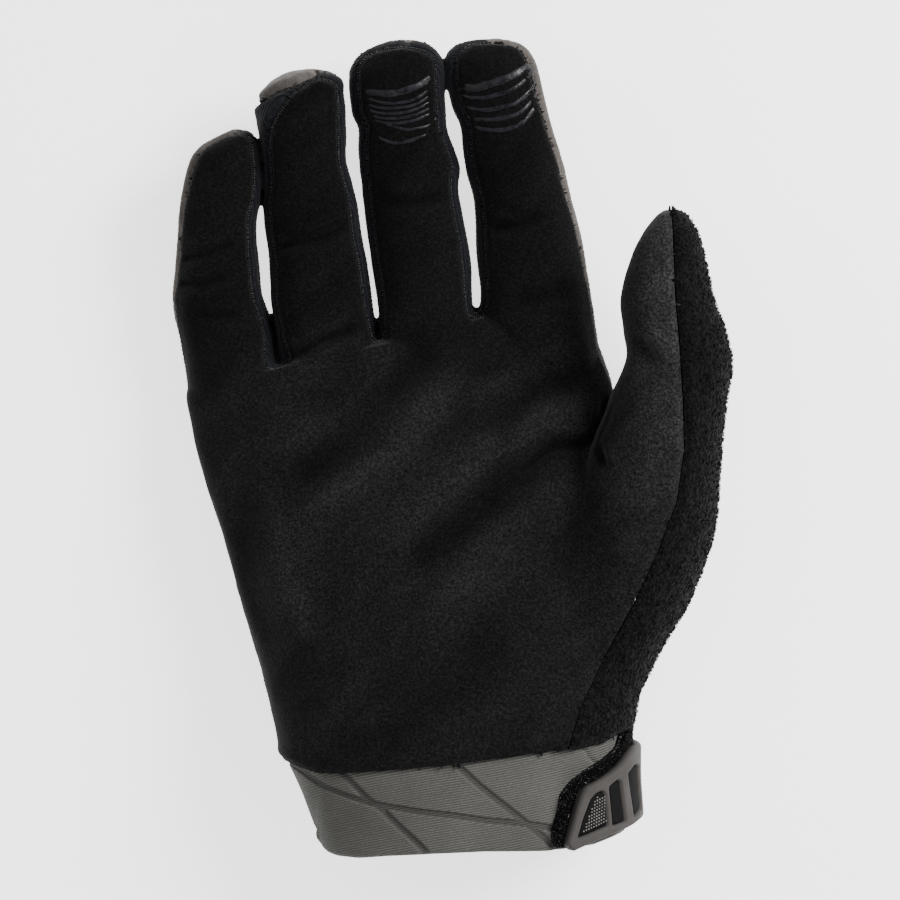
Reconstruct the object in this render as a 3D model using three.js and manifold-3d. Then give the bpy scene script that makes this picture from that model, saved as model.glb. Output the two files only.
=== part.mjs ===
// A right-hand cycling glove with five closed fingers, lying palm up on its back.
// +X points to the thumb's side, +Y to the fingertips and +Z up, out of the palm. Millimetres.
import * as THREE from "three";
import { mergeVertices } from "three/addons/utils/BufferGeometryUtils.js";
import Module from "manifold-3d";

const wasm = await Module();
wasm.setup();

// Driving dimensions
const palmWidth = 112; // across the knuckles
const palmLength = 108; // hem to the crotch between the middle fingers
const palmDepth = 36; // front to back at mid palm
const wall = 1.4; // suede, stretch fabric and terry alike
const seamGap = 0.3; // between two panels sewn edge to edge
const restPress = 1; // how far the soft back is pressed flat where it rests

const wristWidth = 88.5; // the cuff's outside, where the hem covers it
const wristDepth = 39;
const cuffLength = 25; // the cuff that shows below the hem
const cuffTuck = 8; // the cuff that the hem covers
const cuffWall = 2;
const cuffFit = 0.5; // between the cuff and the panels round it
const cuffEdgeDrop = 1.2; // how much further the cuff's front edge reaches than its sides
const grooveWidth = 1.3;
const grooveDepth = 0.5;

const thumbLength = 60.3; // crotch to tip
const thumbWidth = 26.7;
const thumbDepth = 25;

const gussetFront = 5.8; // how far a gusset's front seam lies above the finger's middle
const gussetBack = 4.2; // how far its back seam lies below it
const gussetTip = 0.5; // at the tip, where both are at most this share of half the finger's depth

const strapWidth = 21;
const strapThickness = 1.4;
const hookThickness = 1.6;
const tabThickness = 2.3;
const layerGap = 0.3; // between layers that lie on each other

const gripHeight = 0.5;

// Fineness of the facets
const palmSides = 28;
const fingerSides = 12;
const thumbSides = 14;
const cuffSides = 22;

// The palm's sections. along is a share of palmLength from the hem, across and width are shares of
// palmWidth, depth is a share of palmDepth, and tilt is in degrees, positive with the thumb's end up.
const palmSections = [
  { along: 0.078, across: 0.002, width: 0.85, depth: 1.25, tilt: 3.3 },
  { along: 0.2, across: -0.008, width: 0.89, depth: 1.13, tilt: 2 },
  { along: 0.386, across: -0.036, width: 0.945, depth: 1.02, tilt: 0.5 },
  { along: 0.507, across: -0.06, width: 0.97, depth: 0.98, tilt: 0 },
  { along: 0.629, across: -0.086, width: 0.99, depth: 0.93, tilt: 0.5 },
  { along: 0.743, across: -0.109, width: 1.003, depth: 0.86, tilt: 1.5 },
  { along: 0.847, across: -0.128, width: 1.005, depth: 0.77, tilt: 2.7 },
  { along: 0.92, across: -0.147, width: 0.975, depth: 0.69, tilt: 6.3 },
  { along: 0.972, across: -0.163, width: 0.925, depth: 0.61, tilt: 11.5 },
  { along: 0.996, across: -0.166, width: 0.84, depth: 0.47, tilt: 14.6 },
];
const palmEnd = { along: 1.002, across: -0.166 };

// The fingers' sizes. rootX is a share of palmWidth and rootY a share of palmLength.
// curl is how far the tip is raised above the knuckle, and outline holds the finger's sections:
// along is a share of its length from the root, across and width are shares of its width, and depth
// is a share of its depth.
const fingers = [
  {
    name: "pinky",
    rootX: -0.527,
    rootY: 0.922,
    length: 62.1,
    width: 24.1,
    depth: 20.5,
    curl: 12,
    outline: [
      { along: -0.3, across: 0.1, width: 0.98, depth: 0.98 },
      { along: -0.139, across: 0.054, width: 1.05, depth: 1.04 },
      { along: 0, across: 0.005, width: 1.07, depth: 1.06 },
      { along: 0.215, across: -0.109, width: 1.06, depth: 1.02 },
      { along: 0.316, across: -0.163, width: 1.0, depth: 0.99 },
      { along: 0.443, across: -0.158, width: 0.935, depth: 0.97 },
      { along: 0.705, across: -0.109, width: 0.89, depth: 0.92 },
      { along: 0.806, across: -0.076, width: 0.86, depth: 0.88 },
      { along: 0.924, across: -0.011, width: 0.67, depth: 0.7 },
      { along: 0.966, across: 0.076, width: 0.45, depth: 0.52 },
      { along: 0.99, across: 0.109, width: 0.22, depth: 0.28 },
    ],
    tip: { along: 1, across: 0.115 },
  },
  {
    name: "ring",
    rootX: -0.302,
    rootY: 0.976,
    length: 71.6,
    width: 26,
    depth: 21.5,
    curl: 14,
    outline: [
      { along: -0.3, across: 0.08, width: 1.0, depth: 1.0 },
      { along: -0.147, across: 0.05, width: 1.02, depth: 1.05 },
      { along: 0, across: 0.015, width: 1.04, depth: 1.06 },
      { along: 0.15, across: -0.05, width: 1.05, depth: 1.04 },
      { along: 0.326, across: -0.101, width: 1.01, depth: 0.99 },
      { along: 0.502, across: -0.162, width: 0.985, depth: 0.97 },
      { along: 0.678, across: -0.217, width: 0.86, depth: 0.92 },
      { along: 0.846, across: -0.258, width: 0.94, depth: 0.87 },
      { along: 0.905, across: -0.247, width: 0.88, depth: 0.8 },
      { along: 0.949, across: -0.202, width: 0.79, depth: 0.67 },
      { along: 0.98, across: -0.172, width: 0.59, depth: 0.48 },
    ],
    tip: { along: 1, across: -0.2 },
  },
  {
    name: "middle",
    rootX: -0.067,
    rootY: 1.024,
    length: 74.7,
    width: 26,
    depth: 21.5,
    curl: 11,
    outline: [
      { along: -0.3, across: 0.02, width: 0.98, depth: 1.0 },
      { along: -0.14, across: 0.01, width: 0.98, depth: 1.05 },
      { along: 0, across: 0, width: 0.98, depth: 1.06 },
      { along: 0.242, across: -0.061, width: 1.03, depth: 1.02 },
      { along: 0.411, across: -0.141, width: 1.01, depth: 0.98 },
      { along: 0.551, across: -0.167, width: 1.05, depth: 0.96 },
      { along: 0.695, across: -0.247, width: 0.92, depth: 0.92 },
      { along: 0.747, across: -0.283, width: 0.97, depth: 0.91 },
      { along: 0.881, across: -0.3, width: 0.985, depth: 0.84 },
      { along: 0.925, across: -0.283, width: 0.91, depth: 0.75 },
      { along: 0.96, across: -0.253, width: 0.74, depth: 0.6 },
      { along: 0.986, across: -0.205, width: 0.47, depth: 0.38 },
    ],
    tip: { along: 1, across: -0.17 },
  },
  {
    name: "index",
    rootX: 0.197,
    rootY: 1.046,
    length: 72.8,
    width: 28.6,
    depth: 22,
    curl: 9,
    outline: [
      { along: -0.31, across: 0.112, width: 0.97, depth: 1.0 },
      { along: -0.16, across: 0.065, width: 1.04, depth: 1.05 },
      { along: 0, across: -0.014, width: 1.08, depth: 1.06 },
      { along: 0.237, across: -0.072, width: 1.015, depth: 1.0 },
      { along: 0.438, across: -0.15, width: 0.92, depth: 0.95 },
      { along: 0.613, across: -0.257, width: 0.905, depth: 0.92 },
      { along: 0.759, across: -0.36, width: 0.895, depth: 0.89 },
      { along: 0.839, across: -0.411, width: 0.897, depth: 0.86 },
      { along: 0.898, across: -0.439, width: 0.88, depth: 0.8 },
      { along: 0.945, across: -0.455, width: 0.79, depth: 0.66 },
      { along: 0.978, across: -0.455, width: 0.61, depth: 0.46 },
    ],
    tip: { along: 1, across: -0.445 },
  },
];

// The thumb and the ball of the thumb. along is a share of thumbLength from the thumb's crotch,
// across and width are shares of thumbWidth, depth is a share of thumbDepth, and height is the
// section's centre as a share of palmDepth.
const thumbRoot = { x: 0.489, y: 0.745 }; // shares of palmWidth and palmLength
const thumbSections = [
  { along: -1.087, across: -0.735, width: 0.9, depth: 0.95, height: 0.5, tilt: -30 },
  { along: -0.826, across: -0.66, width: 1.3, depth: 1.25, height: 0.52, tilt: -27 },
  { along: -0.565, across: -0.42, width: 1.47, depth: 1.5, height: 0.56, tilt: -22 },
  { along: -0.326, across: -0.21, width: 1.43, depth: 1.5, height: 0.61, tilt: -16 },
  { along: -0.065, across: -0.085, width: 1.27, depth: 1.36, height: 0.67, tilt: -10 },
  { along: 0.174, across: 0.03, width: 1.12, depth: 1.18, height: 0.75, tilt: -6 },
  { along: 0.348, across: 0.13, width: 1.02, depth: 1.08, height: 0.81, tilt: -4 },
  { along: 0.478, across: 0.07, width: 0.98, depth: 1.03, height: 0.86, tilt: 0 },
  { along: 0.64, across: -0.005, width: 0.88, depth: 0.94, height: 0.91, tilt: 0 },
  { along: 0.79, across: 0.005, width: 0.71, depth: 0.79, height: 0.95, tilt: 0 },
  { along: 0.89, across: 0.03, width: 0.53, depth: 0.61, height: 0.97, tilt: 0 },
  { along: 0.96, across: 0.045, width: 0.31, depth: 0.36, height: 0.98, tilt: 0 },
];
const thumbEnd = { along: 1, across: 0.04, height: 0.98 };

// The terry's edges. along is a share of palmLength from the hem, and front and back are shares of
// palmWidth, across the front and the back of the hand.
const terryEdges = [
  { along: 1.4, front: 0.494, back: 0.445 },
  { along: 1.207, front: 0.499, back: 0.431 },
  { along: 1.085, front: 0.503, back: 0.426 },
  { along: 0.964, front: 0.513, back: 0.442 },
  { along: 0.842, front: 0.522, back: 0.466 },
  { along: 0.721, front: 0.527, back: 0.487 },
  { along: 0.6, front: 0.51, back: 0.487 },
  { along: 0.478, front: 0.466, back: 0.466 },
  { along: 0.347, front: 0.407, back: 0.431 },
  { along: 0.235, front: 0.351, back: 0.396 },
  { along: 0.102, front: 0.286, back: 0.356 },
  { along: -0.06, front: 0.24, back: 0.33 },
];

// Where the palm panel meets the back panel along the little finger's side and the thumb's side.
// along is a share of palmLength from the hem, and littleSide and thumbSide are shares of palmDepth,
// up from the surface that the glove rests on.
const sideSeams = [
  { along: -0.1, littleSide: 0.42, thumbSide: 0.4 },
  { along: 0.1, littleSide: 0.32, thumbSide: 0.4 },
  { along: 0.5, littleSide: 0.26, thumbSide: 0.38 },
  { along: 0.9, littleSide: 0.22, thumbSide: 0.36 },
  { along: 1.05, littleSide: 0.36, thumbSide: 0.36 },
  { along: 1.2, littleSide: 0.48, thumbSide: 0.41 },
  { along: 1.35, littleSide: 0.6, thumbSide: 0.49 },
  { along: 1.5, littleSide: 0.7, thumbSide: 0.57 },
  { along: 1.72, littleSide: 0.75, thumbSide: 0.7 },
];

// The palm's soft folds. The points are shares of palmWidth and palmLength, and reach and sink are
// shares of palmDepth: how wide the fold spreads to each side and how deep it is.
const folds = [
  { from: [0.36, 0.743], to: [0.173, 0.71], reach: 0.2, sink: 0.08 },
  { from: [0.173, 0.71], to: [-0.014, 0.503], reach: 0.24, sink: 0.06 },
  { from: [0.337, 0.903], to: [-0.002, 0.733], reach: 0.2, sink: 0.055 },
  { from: [-0.023, 1.0], to: [-0.342, 0.697], reach: 0.2, sink: 0.055 },
  { from: [-0.229, 1.008], to: [-0.37, 0.954], reach: 0.14, sink: 0.06 },
];

// The cuff's sections, from its edge to its tucked end. along is a share of cuffLength from the edge,
// width is a share of wristWidth, and tilt is in degrees, the thumb's side up.
const cuffSections = [
  { along: 0, width: 0.93, tilt: 4.6 },
  { along: 0.12, width: 0.945, tilt: 4.5 },
  { along: 0.55, width: 0.965, tilt: 4 },
  { along: 1, width: 1, tilt: 3.3 },
];
const cuffLean = 5.5; // how far the cuff's edge stands towards the thumb's side of its hem
const hemDrop = 1.6; // how much further the hem reaches on the front than at its sides

// The grooves pressed into the cuff, as runs of points in shares of wristWidth and cuffLength from the
// hem. side is 1 on the front and -1 on the back.
const grooves = [
  {
    side: 1,
    run: [[-0.6, -0.025], [-0.453, -0.172], [-0.388, -0.326], [-0.261, -0.47], [0.024, -0.614], [0.308, -0.737]],
  },
  { side: 1, run: [[-0.36, -0.025], [-0.344, -0.203], [-0.261, -0.47], [-0.169, -0.789], [-0.03, -1.225]] },
  { side: 1, run: [[-0.05, 0.095], [0.08, -0.367], [0.16, -0.614], [0.4, -1.225]] },
  { side: 1, run: [[0.34, 0.275], [0.45, -0.165]] },
  { side: -1, run: [[-0.4, 0.175], [-0.1, -0.425], [0.1, -1.125]] },
];

// Outlines on the wrist, seen from the front: shares of wristWidth and strapWidth from the hem.
const tabOutline = [
  [0.334, -1.126], [0.35, -1.227], [0.408, -1.126], [0.489, -0.959], [0.552, -0.804], [0.9, -0.66],
  [0.9, 0.29], [0.544, 0.14], [0.504, -0.11], [0.447, -0.278], [0.396, -0.397], [0.382, -0.457],
  [0.359, -0.709],
];
const hookOutline = [
  [0.292, -1.114], [0.305, -1.177], [0.345, -1.18], [0.408, -1.07], [0.489, -0.91], [0.9, -0.63],
  [0.9, 0.39], [0.504, 0.315], [0.49, 0.105], [0.447, -0.085], [0.39, -0.206], [0.342, -0.349],
  [0.32, -0.469], [0.311, -0.709],
];
const tabWindows = [
  {
    name: "tab_window_dotted",
    outline: [[0.364, -1.055], [0.382, -0.815], [0.408, -0.517], [0.43, -0.463], [0.444, -0.493], [0.453, -0.909], [0.408, -1.006]],
  },
  {
    name: "tab_window_middle",
    outline: [[0.459, -0.409], [0.484, -0.322], [0.493, -0.372], [0.504, -0.839], [0.467, -0.888]],
  },
  {
    name: "tab_window_side",
    outline: [[0.514, -0.242], [0.538, -0.122], [0.548, -0.147], [0.555, -0.709], [0.524, -0.809]],
  },
];

// The grip lines printed across two finger pads. along is a share of the finger's length, reach is half
// the line's length, sag how far its middle hangs below its ends and thick its width, all three shares
// of the finger's width, and rise is its slope towards the thumb's side.
const gripLines = {
  index: [
    { along: 0.843, reach: 0.36, sag: 0.07, thick: 0.075, rise: 0.25 },
    { along: 0.8, reach: 0.37, sag: 0.07, thick: 0.042, rise: 0.24 },
    { along: 0.757, reach: 0.38, sag: 0.1, thick: 0.042, rise: 0.2 },
    { along: 0.719, reach: 0.38, sag: 0.1, thick: 0.042, rise: 0.18 },
    { along: 0.682, reach: 0.37, sag: 0.11, thick: 0.042, rise: 0.15 },
  ],
  middle: [
    { along: 0.828, reach: 0.38, sag: 0.07, thick: 0.07, rise: 0.2 },
    { along: 0.789, reach: 0.38, sag: 0.09, thick: 0.032, rise: 0.16 },
    { along: 0.768, reach: 0.38, sag: 0.09, thick: 0.032, rise: 0.14 },
    { along: 0.747, reach: 0.38, sag: 0.09, thick: 0.032, rise: 0.13 },
    { along: 0.726, reach: 0.37, sag: 0.09, thick: 0.032, rise: 0.12 },
    { along: 0.705, reach: 0.36, sag: 0.09, thick: 0.032, rise: 0.12 },
    { along: 0.682, reach: 0.34, sag: 0.09, thick: 0.035, rise: 0.13 },
    { along: 0.632, reach: 0.26, sag: 0.04, thick: 0.035, rise: 0.13 },
  ],
};

// Finishes
const finish = (color, roughness, metalness = 0) =>
  new THREE.MeshStandardMaterial({ color, roughness, metalness });
const blackSuede = finish("#1d1d1d", 0.95);
const blackTerry = finish("#181818", 1);
const ribbedGusset = finish("#2b2c31", 0.85);
const greyStretch = finish("#66625e", 0.85);
const greyKnit = finish("#605f5b", 0.85);
const mouldedGrey = finish("#65615e", 0.6);
const mouldedBlack = finish("#252526", 0.5);
const hookTape = finish("#141414", 0.9);
const gripPrint = finish("#101012", 0.25);

const X_AXIS = new THREE.Vector3(1, 0, 0);
const Z_AXIS = new THREE.Vector3(0, 0, 1);
const beyond = palmWidth; // far enough for a cutting solid to clear the glove
const degrees = Math.PI / 180;

const roundFront = { front: 2.2, back: 2.7 }; // squareness of the palm's sections, 2 is an ellipse
const roundFinger = { front: 2.3, back: 2.5 };
const roundThumb = { front: 2.2, back: 2.3 };
const roundWrist = { front: 2.4, back: 2.8 };

// Reads a table at a value of its column along, with the other columns in proportion between rows.
function readTable(rows, along) {
  const upper = rows.findIndex((row, i) => i > 0 && (row.along - along) * (rows.at(-1).along - rows[0].along) >= 0);
  const i = upper < 0 ? rows.length - 1 : upper;
  const [a, b] = [rows[i - 1], rows[i]];
  const share = THREE.MathUtils.clamp((along - a.along) / (b.along - a.along), 0, 1);
  return Object.fromEntries(Object.keys(a).map((key) => [key, a[key] + share * (b[key] - a[key])]));
}

const spread = (value, exponent) => Math.sign(value) * Math.abs(value) ** exponent;

// One ring of a tube: a rounded section round a centre, turned by pitch about X and then tilt about Z.
function ring({ centre, halfWidth, halfDepth, pitch = 0, tilt = 0, squareness, drop = 0 }, sides) {
  return Array.from({ length: sides }, (_, i) => {
    const angle = (i / sides) * 2 * Math.PI;
    const power = 2 / (Math.sin(angle) > 0 ? squareness.front : squareness.back);
    const across = halfWidth * spread(Math.cos(angle), power);
    const up = halfDepth * spread(Math.sin(angle), power);
    const point = new THREE.Vector3(across, -drop * Math.max(0, Math.sin(angle)), up);
    return point.applyAxisAngle(X_AXIS, pitch).applyAxisAngle(Z_AXIS, tilt).add(centre);
  });
}

function centreOf(points) {
  const sum = points.reduce((total, point) => total.add(point), new THREE.Vector3());
  return sum.divideScalar(points.length);
}

// A tube's rings moved outwards along their normals, or inwards where distance is negative.
function grown({ rings, tip }, distance) {
  const moved = rings.map((points, j) =>
    points.map((point, i) => {
      const after = points[(i + 1) % points.length];
      const before = points[(i + points.length - 1) % points.length];
      const ahead = j + 1 < rings.length ? rings[j + 1][i] : tip ?? point;
      const behind = j > 0 ? rings[j - 1][i] : point;
      const normal = ahead.clone().sub(behind).cross(after.clone().sub(before)).normalize();
      return point.clone().addScaledVector(normal, distance);
    }),
  );
  const heading = tip?.clone().sub(centreOf(rings.at(-1))).normalize();
  return { rings: moved, tip: tip?.clone().addScaledVector(heading, distance) };
}

// The closed geometry over a tube's rings: a flat near end, and a point or a flat end at its tip.
function loft({ rings, tip }) {
  const sides = rings[0].length;
  const vertices = [centreOf(rings[0]), ...rings.flat(), tip ?? centreOf(rings.at(-1))];
  const at = (j, i) => 1 + j * sides + (i % sides);
  const last = vertices.length - 1;
  const faces = [];
  for (let i = 0; i < sides; i++) {
    faces.push(0, at(0, i), at(0, i + 1));
    for (let j = 0; j + 1 < rings.length; j++) {
      faces.push(at(j, i), at(j + 1, i), at(j, i + 1));
      faces.push(at(j, i + 1), at(j + 1, i), at(j + 1, i + 1));
    }
    faces.push(last, at(rings.length - 1, i + 1), at(rings.length - 1, i));
  }
  return new THREE.BufferGeometry().setFromPoints(vertices).setIndex(faces);
}

// A closed block between two grids of points of one size, the second one lying above the first.
function block(lower, upper) {
  const [rows, columns] = [lower.length, lower[0].length];
  const vertices = [...lower.flat(), ...upper.flat()];
  const low = (j, i) => j * columns + i;
  const high = (j, i) => rows * columns + low(j, i);
  const faces = [];
  const quad = (a, b, c, d) => faces.push(a, b, c, a, c, d);
  for (let j = 0; j + 1 < rows; j++) {
    for (let i = 0; i + 1 < columns; i++) {
      quad(low(j, i), low(j + 1, i), low(j + 1, i + 1), low(j, i + 1));
      quad(high(j, i), high(j, i + 1), high(j + 1, i + 1), high(j + 1, i));
    }
    quad(low(j, 0), high(j, 0), high(j + 1, 0), low(j + 1, 0));
    quad(low(j, columns - 1), low(j + 1, columns - 1), high(j + 1, columns - 1), high(j, columns - 1));
  }
  for (let i = 0; i + 1 < columns; i++) {
    quad(low(0, i), low(0, i + 1), high(0, i + 1), high(0, i));
    quad(low(rows - 1, i), high(rows - 1, i), high(rows - 1, i + 1), low(rows - 1, i + 1));
  }
  return new THREE.BufferGeometry().setFromPoints(vertices).setIndex(faces);
}

function solidOf(geometry) {
  const bare = new THREE.BufferGeometry();
  bare.setAttribute("position", geometry.getAttribute("position")).setIndex(geometry.index);
  const merged = mergeVertices(bare, 1e-4);
  const vertProperties = merged.getAttribute("position").array;
  return new wasm.Manifold(
    new wasm.Mesh({ numProp: 3, vertProperties, triVerts: new Uint32Array(merged.index.array) }),
  );
}

// An outline in the plane of the palm, carried up from one height to another.
function prism(outline, from, to) {
  const shape = new THREE.Shape(outline.map(([x, y]) => new THREE.Vector2(x, y)));
  const geometry = new THREE.ExtrudeGeometry(shape, { depth: to - from, bevelEnabled: false });
  return solidOf(geometry.translate(0, 0, from));
}

const joined = (solids) => solids.reduce((whole, solid) => whole.add(solid));

// The palm's tube, from the hem to the crotches, and the height of the wrist's centre
const wristCentreHeight = wristDepth / 2 + cuffFit + wall;

function foldSink(x, y) {
  return folds.reduce((deepest, { from, to, reach, sink }) => {
    const start = new THREE.Vector3(from[0] * palmWidth, from[1] * palmLength, 0);
    const end = new THREE.Vector3(to[0] * palmWidth, to[1] * palmLength, 0);
    const nearest = new THREE.Line3(start, end).closestPointToPoint(new THREE.Vector3(x, y, 0), true, new THREE.Vector3());
    const distance = Math.hypot(nearest.x - x, nearest.y - y) / (reach * palmDepth);
    return Math.max(deepest, sink * palmDepth * Math.exp(-distance * distance));
  }, 0);
}

function palmTube() {
  const hem = ring(
    {
      centre: new THREE.Vector3(0, 0, wristCentreHeight),
      halfWidth: wristWidth / 2 + cuffFit + wall,
      halfDepth: wristCentreHeight,
      tilt: cuffSections.at(-1).tilt * degrees,
      squareness: roundWrist,
      drop: hemDrop,
    },
    palmSides,
  );
  const rest = palmSections.map(({ along, across, width, depth, tilt }) => {
    const halfDepth = (depth * palmDepth) / 2;
    return ring(
      {
        centre: new THREE.Vector3(across * palmWidth, along * palmLength, halfDepth - restPress),
        halfWidth: (width * palmWidth) / 2,
        halfDepth,
        tilt: tilt * degrees,
        squareness: roundFront,
      },
      palmSides,
    );
  });
  const rings = [hem, ...rest];
  rings.slice(1).flat().forEach((point) => {
    if (point.z > palmDepth / 3) point.z -= foldSink(point.x, point.y);
  });
  const end = palmSections.at(-1);
  const tip = new THREE.Vector3(
    palmEnd.across * palmWidth,
    palmEnd.along * palmLength,
    (end.depth * palmDepth) / 2 - restPress,
  );
  return { rings, tip };
}

// A finger's section at a share of its length: its centre rises along a smooth curl.
const curlShape = 1.8;

function fingerSection(finger, along) {
  const row = readTable(finger.outline, along);
  const raised = Math.max(0, along) ** curlShape;
  const slope = (finger.curl * curlShape * Math.max(0, along) ** (curlShape - 1)) / finger.length;
  return {
    centre: new THREE.Vector3(
      finger.rootX * palmWidth + row.across * finger.width,
      finger.rootY * palmLength + along * finger.length,
      (finger.outline[2].depth * finger.depth) / 2 - restPress + finger.curl * raised,
    ),
    halfWidth: (row.width * finger.width) / 2,
    halfDepth: (row.depth * finger.depth) / 2,
    pitch: Math.atan(slope),
    squareness: roundFinger,
  };
}

function fingerTube(finger) {
  const rings = finger.outline.map(({ along }) => ring(fingerSection(finger, along), fingerSides));
  const tip = fingerSection(finger, 1).centre;
  tip.x = finger.rootX * palmWidth + finger.tip.across * finger.width;
  return { rings, tip };
}

function thumbTube() {
  const place = ({ along, across, height }) =>
    new THREE.Vector3(
      thumbRoot.x * palmWidth + across * thumbWidth,
      thumbRoot.y * palmLength + along * thumbLength,
      height * palmDepth,
    );
  const rings = thumbSections.map((row) =>
    ring(
      {
        centre: place(row),
        halfWidth: (row.width * thumbWidth) / 2,
        halfDepth: (row.depth * thumbDepth) / 2,
        tilt: row.tilt * degrees,
        squareness: roundThumb,
      },
      thumbSides,
    ),
  );
  return { rings, tip: place(thumbEnd) };
}

// The hand's hollow skin
const palm = palmTube();
const fingerTubes = fingers.map(fingerTube);
const thumb = thumbTube();

const slabBelow = (height) =>
  solidOf(new THREE.BoxGeometry(4 * beyond, 4 * beyond, beyond).translate(0, 0, height - beyond / 2));

const outerHand = joined([palm, ...fingerTubes, thumb].map((tube) => solidOf(loft(tube)))).subtract(slabBelow(0));

const innerPalm = grown(palm, -wall);
innerPalm.rings.unshift(innerPalm.rings[0].map((point) => point.clone().setY(point.y - cuffTuck)));
const innerHand = joined(
  [innerPalm, ...[...fingerTubes, thumb].map((tube) => grown(tube, -wall))].map((tube) => solidOf(loft(tube))),
).subtract(slabBelow(wall));

const skin = outerHand.subtract(innerHand);

// Where a finger is at a place along the glove
function fingerAt(finger, y) {
  const along = (y - finger.rootY * palmLength) / finger.length;
  const section = fingerSection(finger, THREE.MathUtils.clamp(along, finger.outline[0].along, 1));
  return {
    x: section.centre.x,
    z: section.centre.z,
    left: section.centre.x - section.halfWidth,
    right: section.centre.x + section.halfWidth,
    reach: Math.max(gussetTip * section.halfDepth, 0.5),
  };
}

// The heights of the front and back seams across the glove at a place along it, one column for each
// finger's axis, each crotch and each edge.
function seamColumns(y) {
  const at = fingers.map((finger) => fingerAt(finger, y));
  const side = readTable(sideSeams, y / palmLength);
  const [first, last] = [at[0], at.at(-1)];
  const single = (x, z) => ({ x, front: z + seamGap / 2, back: z - seamGap / 2 });
  const pair = (x, z, reach) => ({
    x,
    front: z + Math.min(gussetFront, reach),
    back: z - Math.min(gussetBack, reach),
  });
  const columns = [
    single(-beyond, side.littleSide * palmDepth),
    single(first.left, side.littleSide * palmDepth),
    single(first.x - seamGap, side.littleSide * palmDepth),
  ];
  at.forEach((here, k) => {
    columns.push(pair(here.x + (k === at.length - 1 ? -seamGap : 0), here.z, here.reach));
    const next = at[k + 1];
    if (next) {
      const between = (here.right + next.left) / 2;
      columns.push(pair(between, (here.z + next.z) / 2, (here.reach + next.reach) / 2));
    }
  });
  columns.push(
    single(last.x + seamGap, side.thumbSide * palmDepth),
    single(last.right, side.thumbSide * palmDepth),
    single(beyond, side.thumbSide * palmDepth),
  );
  return columns;
}

// The places along the glove where the seams are set out, closer together at the fingertips
const farthest = Math.max(...fingers.map((finger) => finger.rootY * palmLength + finger.length)) + wall;
const evenly = (from, to, steps) =>
  Array.from({ length: steps }, (_, j) => THREE.MathUtils.lerp(from, to, j / steps));
const stations = [
  ...evenly(-0.12 * palmLength, 1.3 * palmLength, 6),
  ...evenly(1.3 * palmLength, farthest, 6),
  farthest,
];
const seamGrid = (height) =>
  stations.map((y) => seamColumns(y).map((column) => new THREE.Vector3(column.x, y, height(column))));

const frontRegion = solidOf(block(seamGrid(({ front }) => front), seamGrid(() => beyond)));
const backRegion = solidOf(block(seamGrid(() => -beyond), seamGrid(({ back }) => back)));

// The region of one gusset: between two fingers' axes and between the front and the back seam
function gussetRegion(k) {
  const rows = stations
    .filter((y) => y > (fingers[k].rootY - 0.14) * palmLength)
    .map((y) => {
      const columns = seamColumns(y).slice(3 + 2 * k, 6 + 2 * k);
      return columns.map((column, i) => ({ ...column, x: column.x + (1 - i) * seamGap, y }));
    });
  const grid = (height) => rows.map((row) => row.map((c) => new THREE.Vector3(c.x, c.y, height(c))));
  return solidOf(block(grid((c) => c.back + seamGap), grid((c) => c.front - seamGap)));
}

// Everything on the thumb's side of the terry's edges, moved to the little finger's side by shift
function terryRegion(shift) {
  const levels = [
    { z: -beyond, column: "back" },
    { z: 0.3 * palmDepth, column: "back" },
    { z: 0.9 * palmDepth, column: "front" },
    { z: beyond, column: "front" },
  ];
  const face = levels.map(({ z, column }) =>
    terryEdges.map((edge) => new THREE.Vector3(edge[column] * palmWidth - shift, edge.along * palmLength, z)),
  );
  const far = face.map((row) => row.map((point) => point.clone().setX(beyond)));
  return solidOf(block(far, face));
}

const terryWithGap = terryRegion(seamGap);
const palmPanel = skin.intersect(frontRegion).subtract(terryWithGap);
const backPanel = skin.intersect(backRegion).subtract(terryWithGap);
const terryPanel = skin.intersect(terryRegion(0));

// The cuff and what wraps it
function cuffTube(grow, from, to) {
  const rows = [
    ...cuffSections.map((row) => ({ ...row })),
    { ...cuffSections.at(-1), along: to },
  ];
  rows[0].along = from;
  const rings = rows.map(({ along, width, tilt }) => {
    const below = 1 - along;
    return ring(
      {
        centre: new THREE.Vector3(cuffLean * Math.max(0, below), -cuffLength * below, wristCentreHeight),
        halfWidth: (width * wristWidth) / 2 + grow,
        halfDepth: wristDepth / 2 + grow,
        tilt: tilt * degrees,
        squareness: roundWrist,
        drop: cuffEdgeDrop * Math.max(0, below),
      },
      cuffSides,
    );
  });
  return solidOf(loft({ rings }));
}

const tuckedEnd = 1 + cuffTuck / cuffLength;
const pastEnds = 0.4;

// A layer round the wrist between two distances from the cuff's outside
const wristLayer = (inside, outside) =>
  cuffTube(outside, 0, tuckedEnd).subtract(cuffTube(inside, -pastEnds, tuckedEnd + pastEnds));

function grooveCutter({ side, run }) {
  const heights = side > 0 ? [wristCentreHeight, beyond] : [-beyond, wristCentreHeight];
  const strokes = run.slice(1).map((end, i) => {
    const a = new THREE.Vector2(run[i][0] * wristWidth, run[i][1] * cuffLength);
    const b = new THREE.Vector2(end[0] * wristWidth, end[1] * cuffLength);
    const sideways = b.clone().sub(a).normalize().multiplyScalar(grooveWidth / 2);
    const [dx, dy] = [-sideways.y, sideways.x];
    const outline = [[a.x - dx, a.y - dy], [b.x - dx, b.y - dy], [b.x + dx, b.y + dy], [a.x + dx, a.y + dy]];
    return prism(outline, ...heights);
  });
  return joined(strokes);
}

const onWrist = (outline) => outline.map(([x, y]) => [x * wristWidth, y * strapWidth]);
const hemKeepOut = outerHand.translate([0, -layerGap, 0]);

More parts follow.
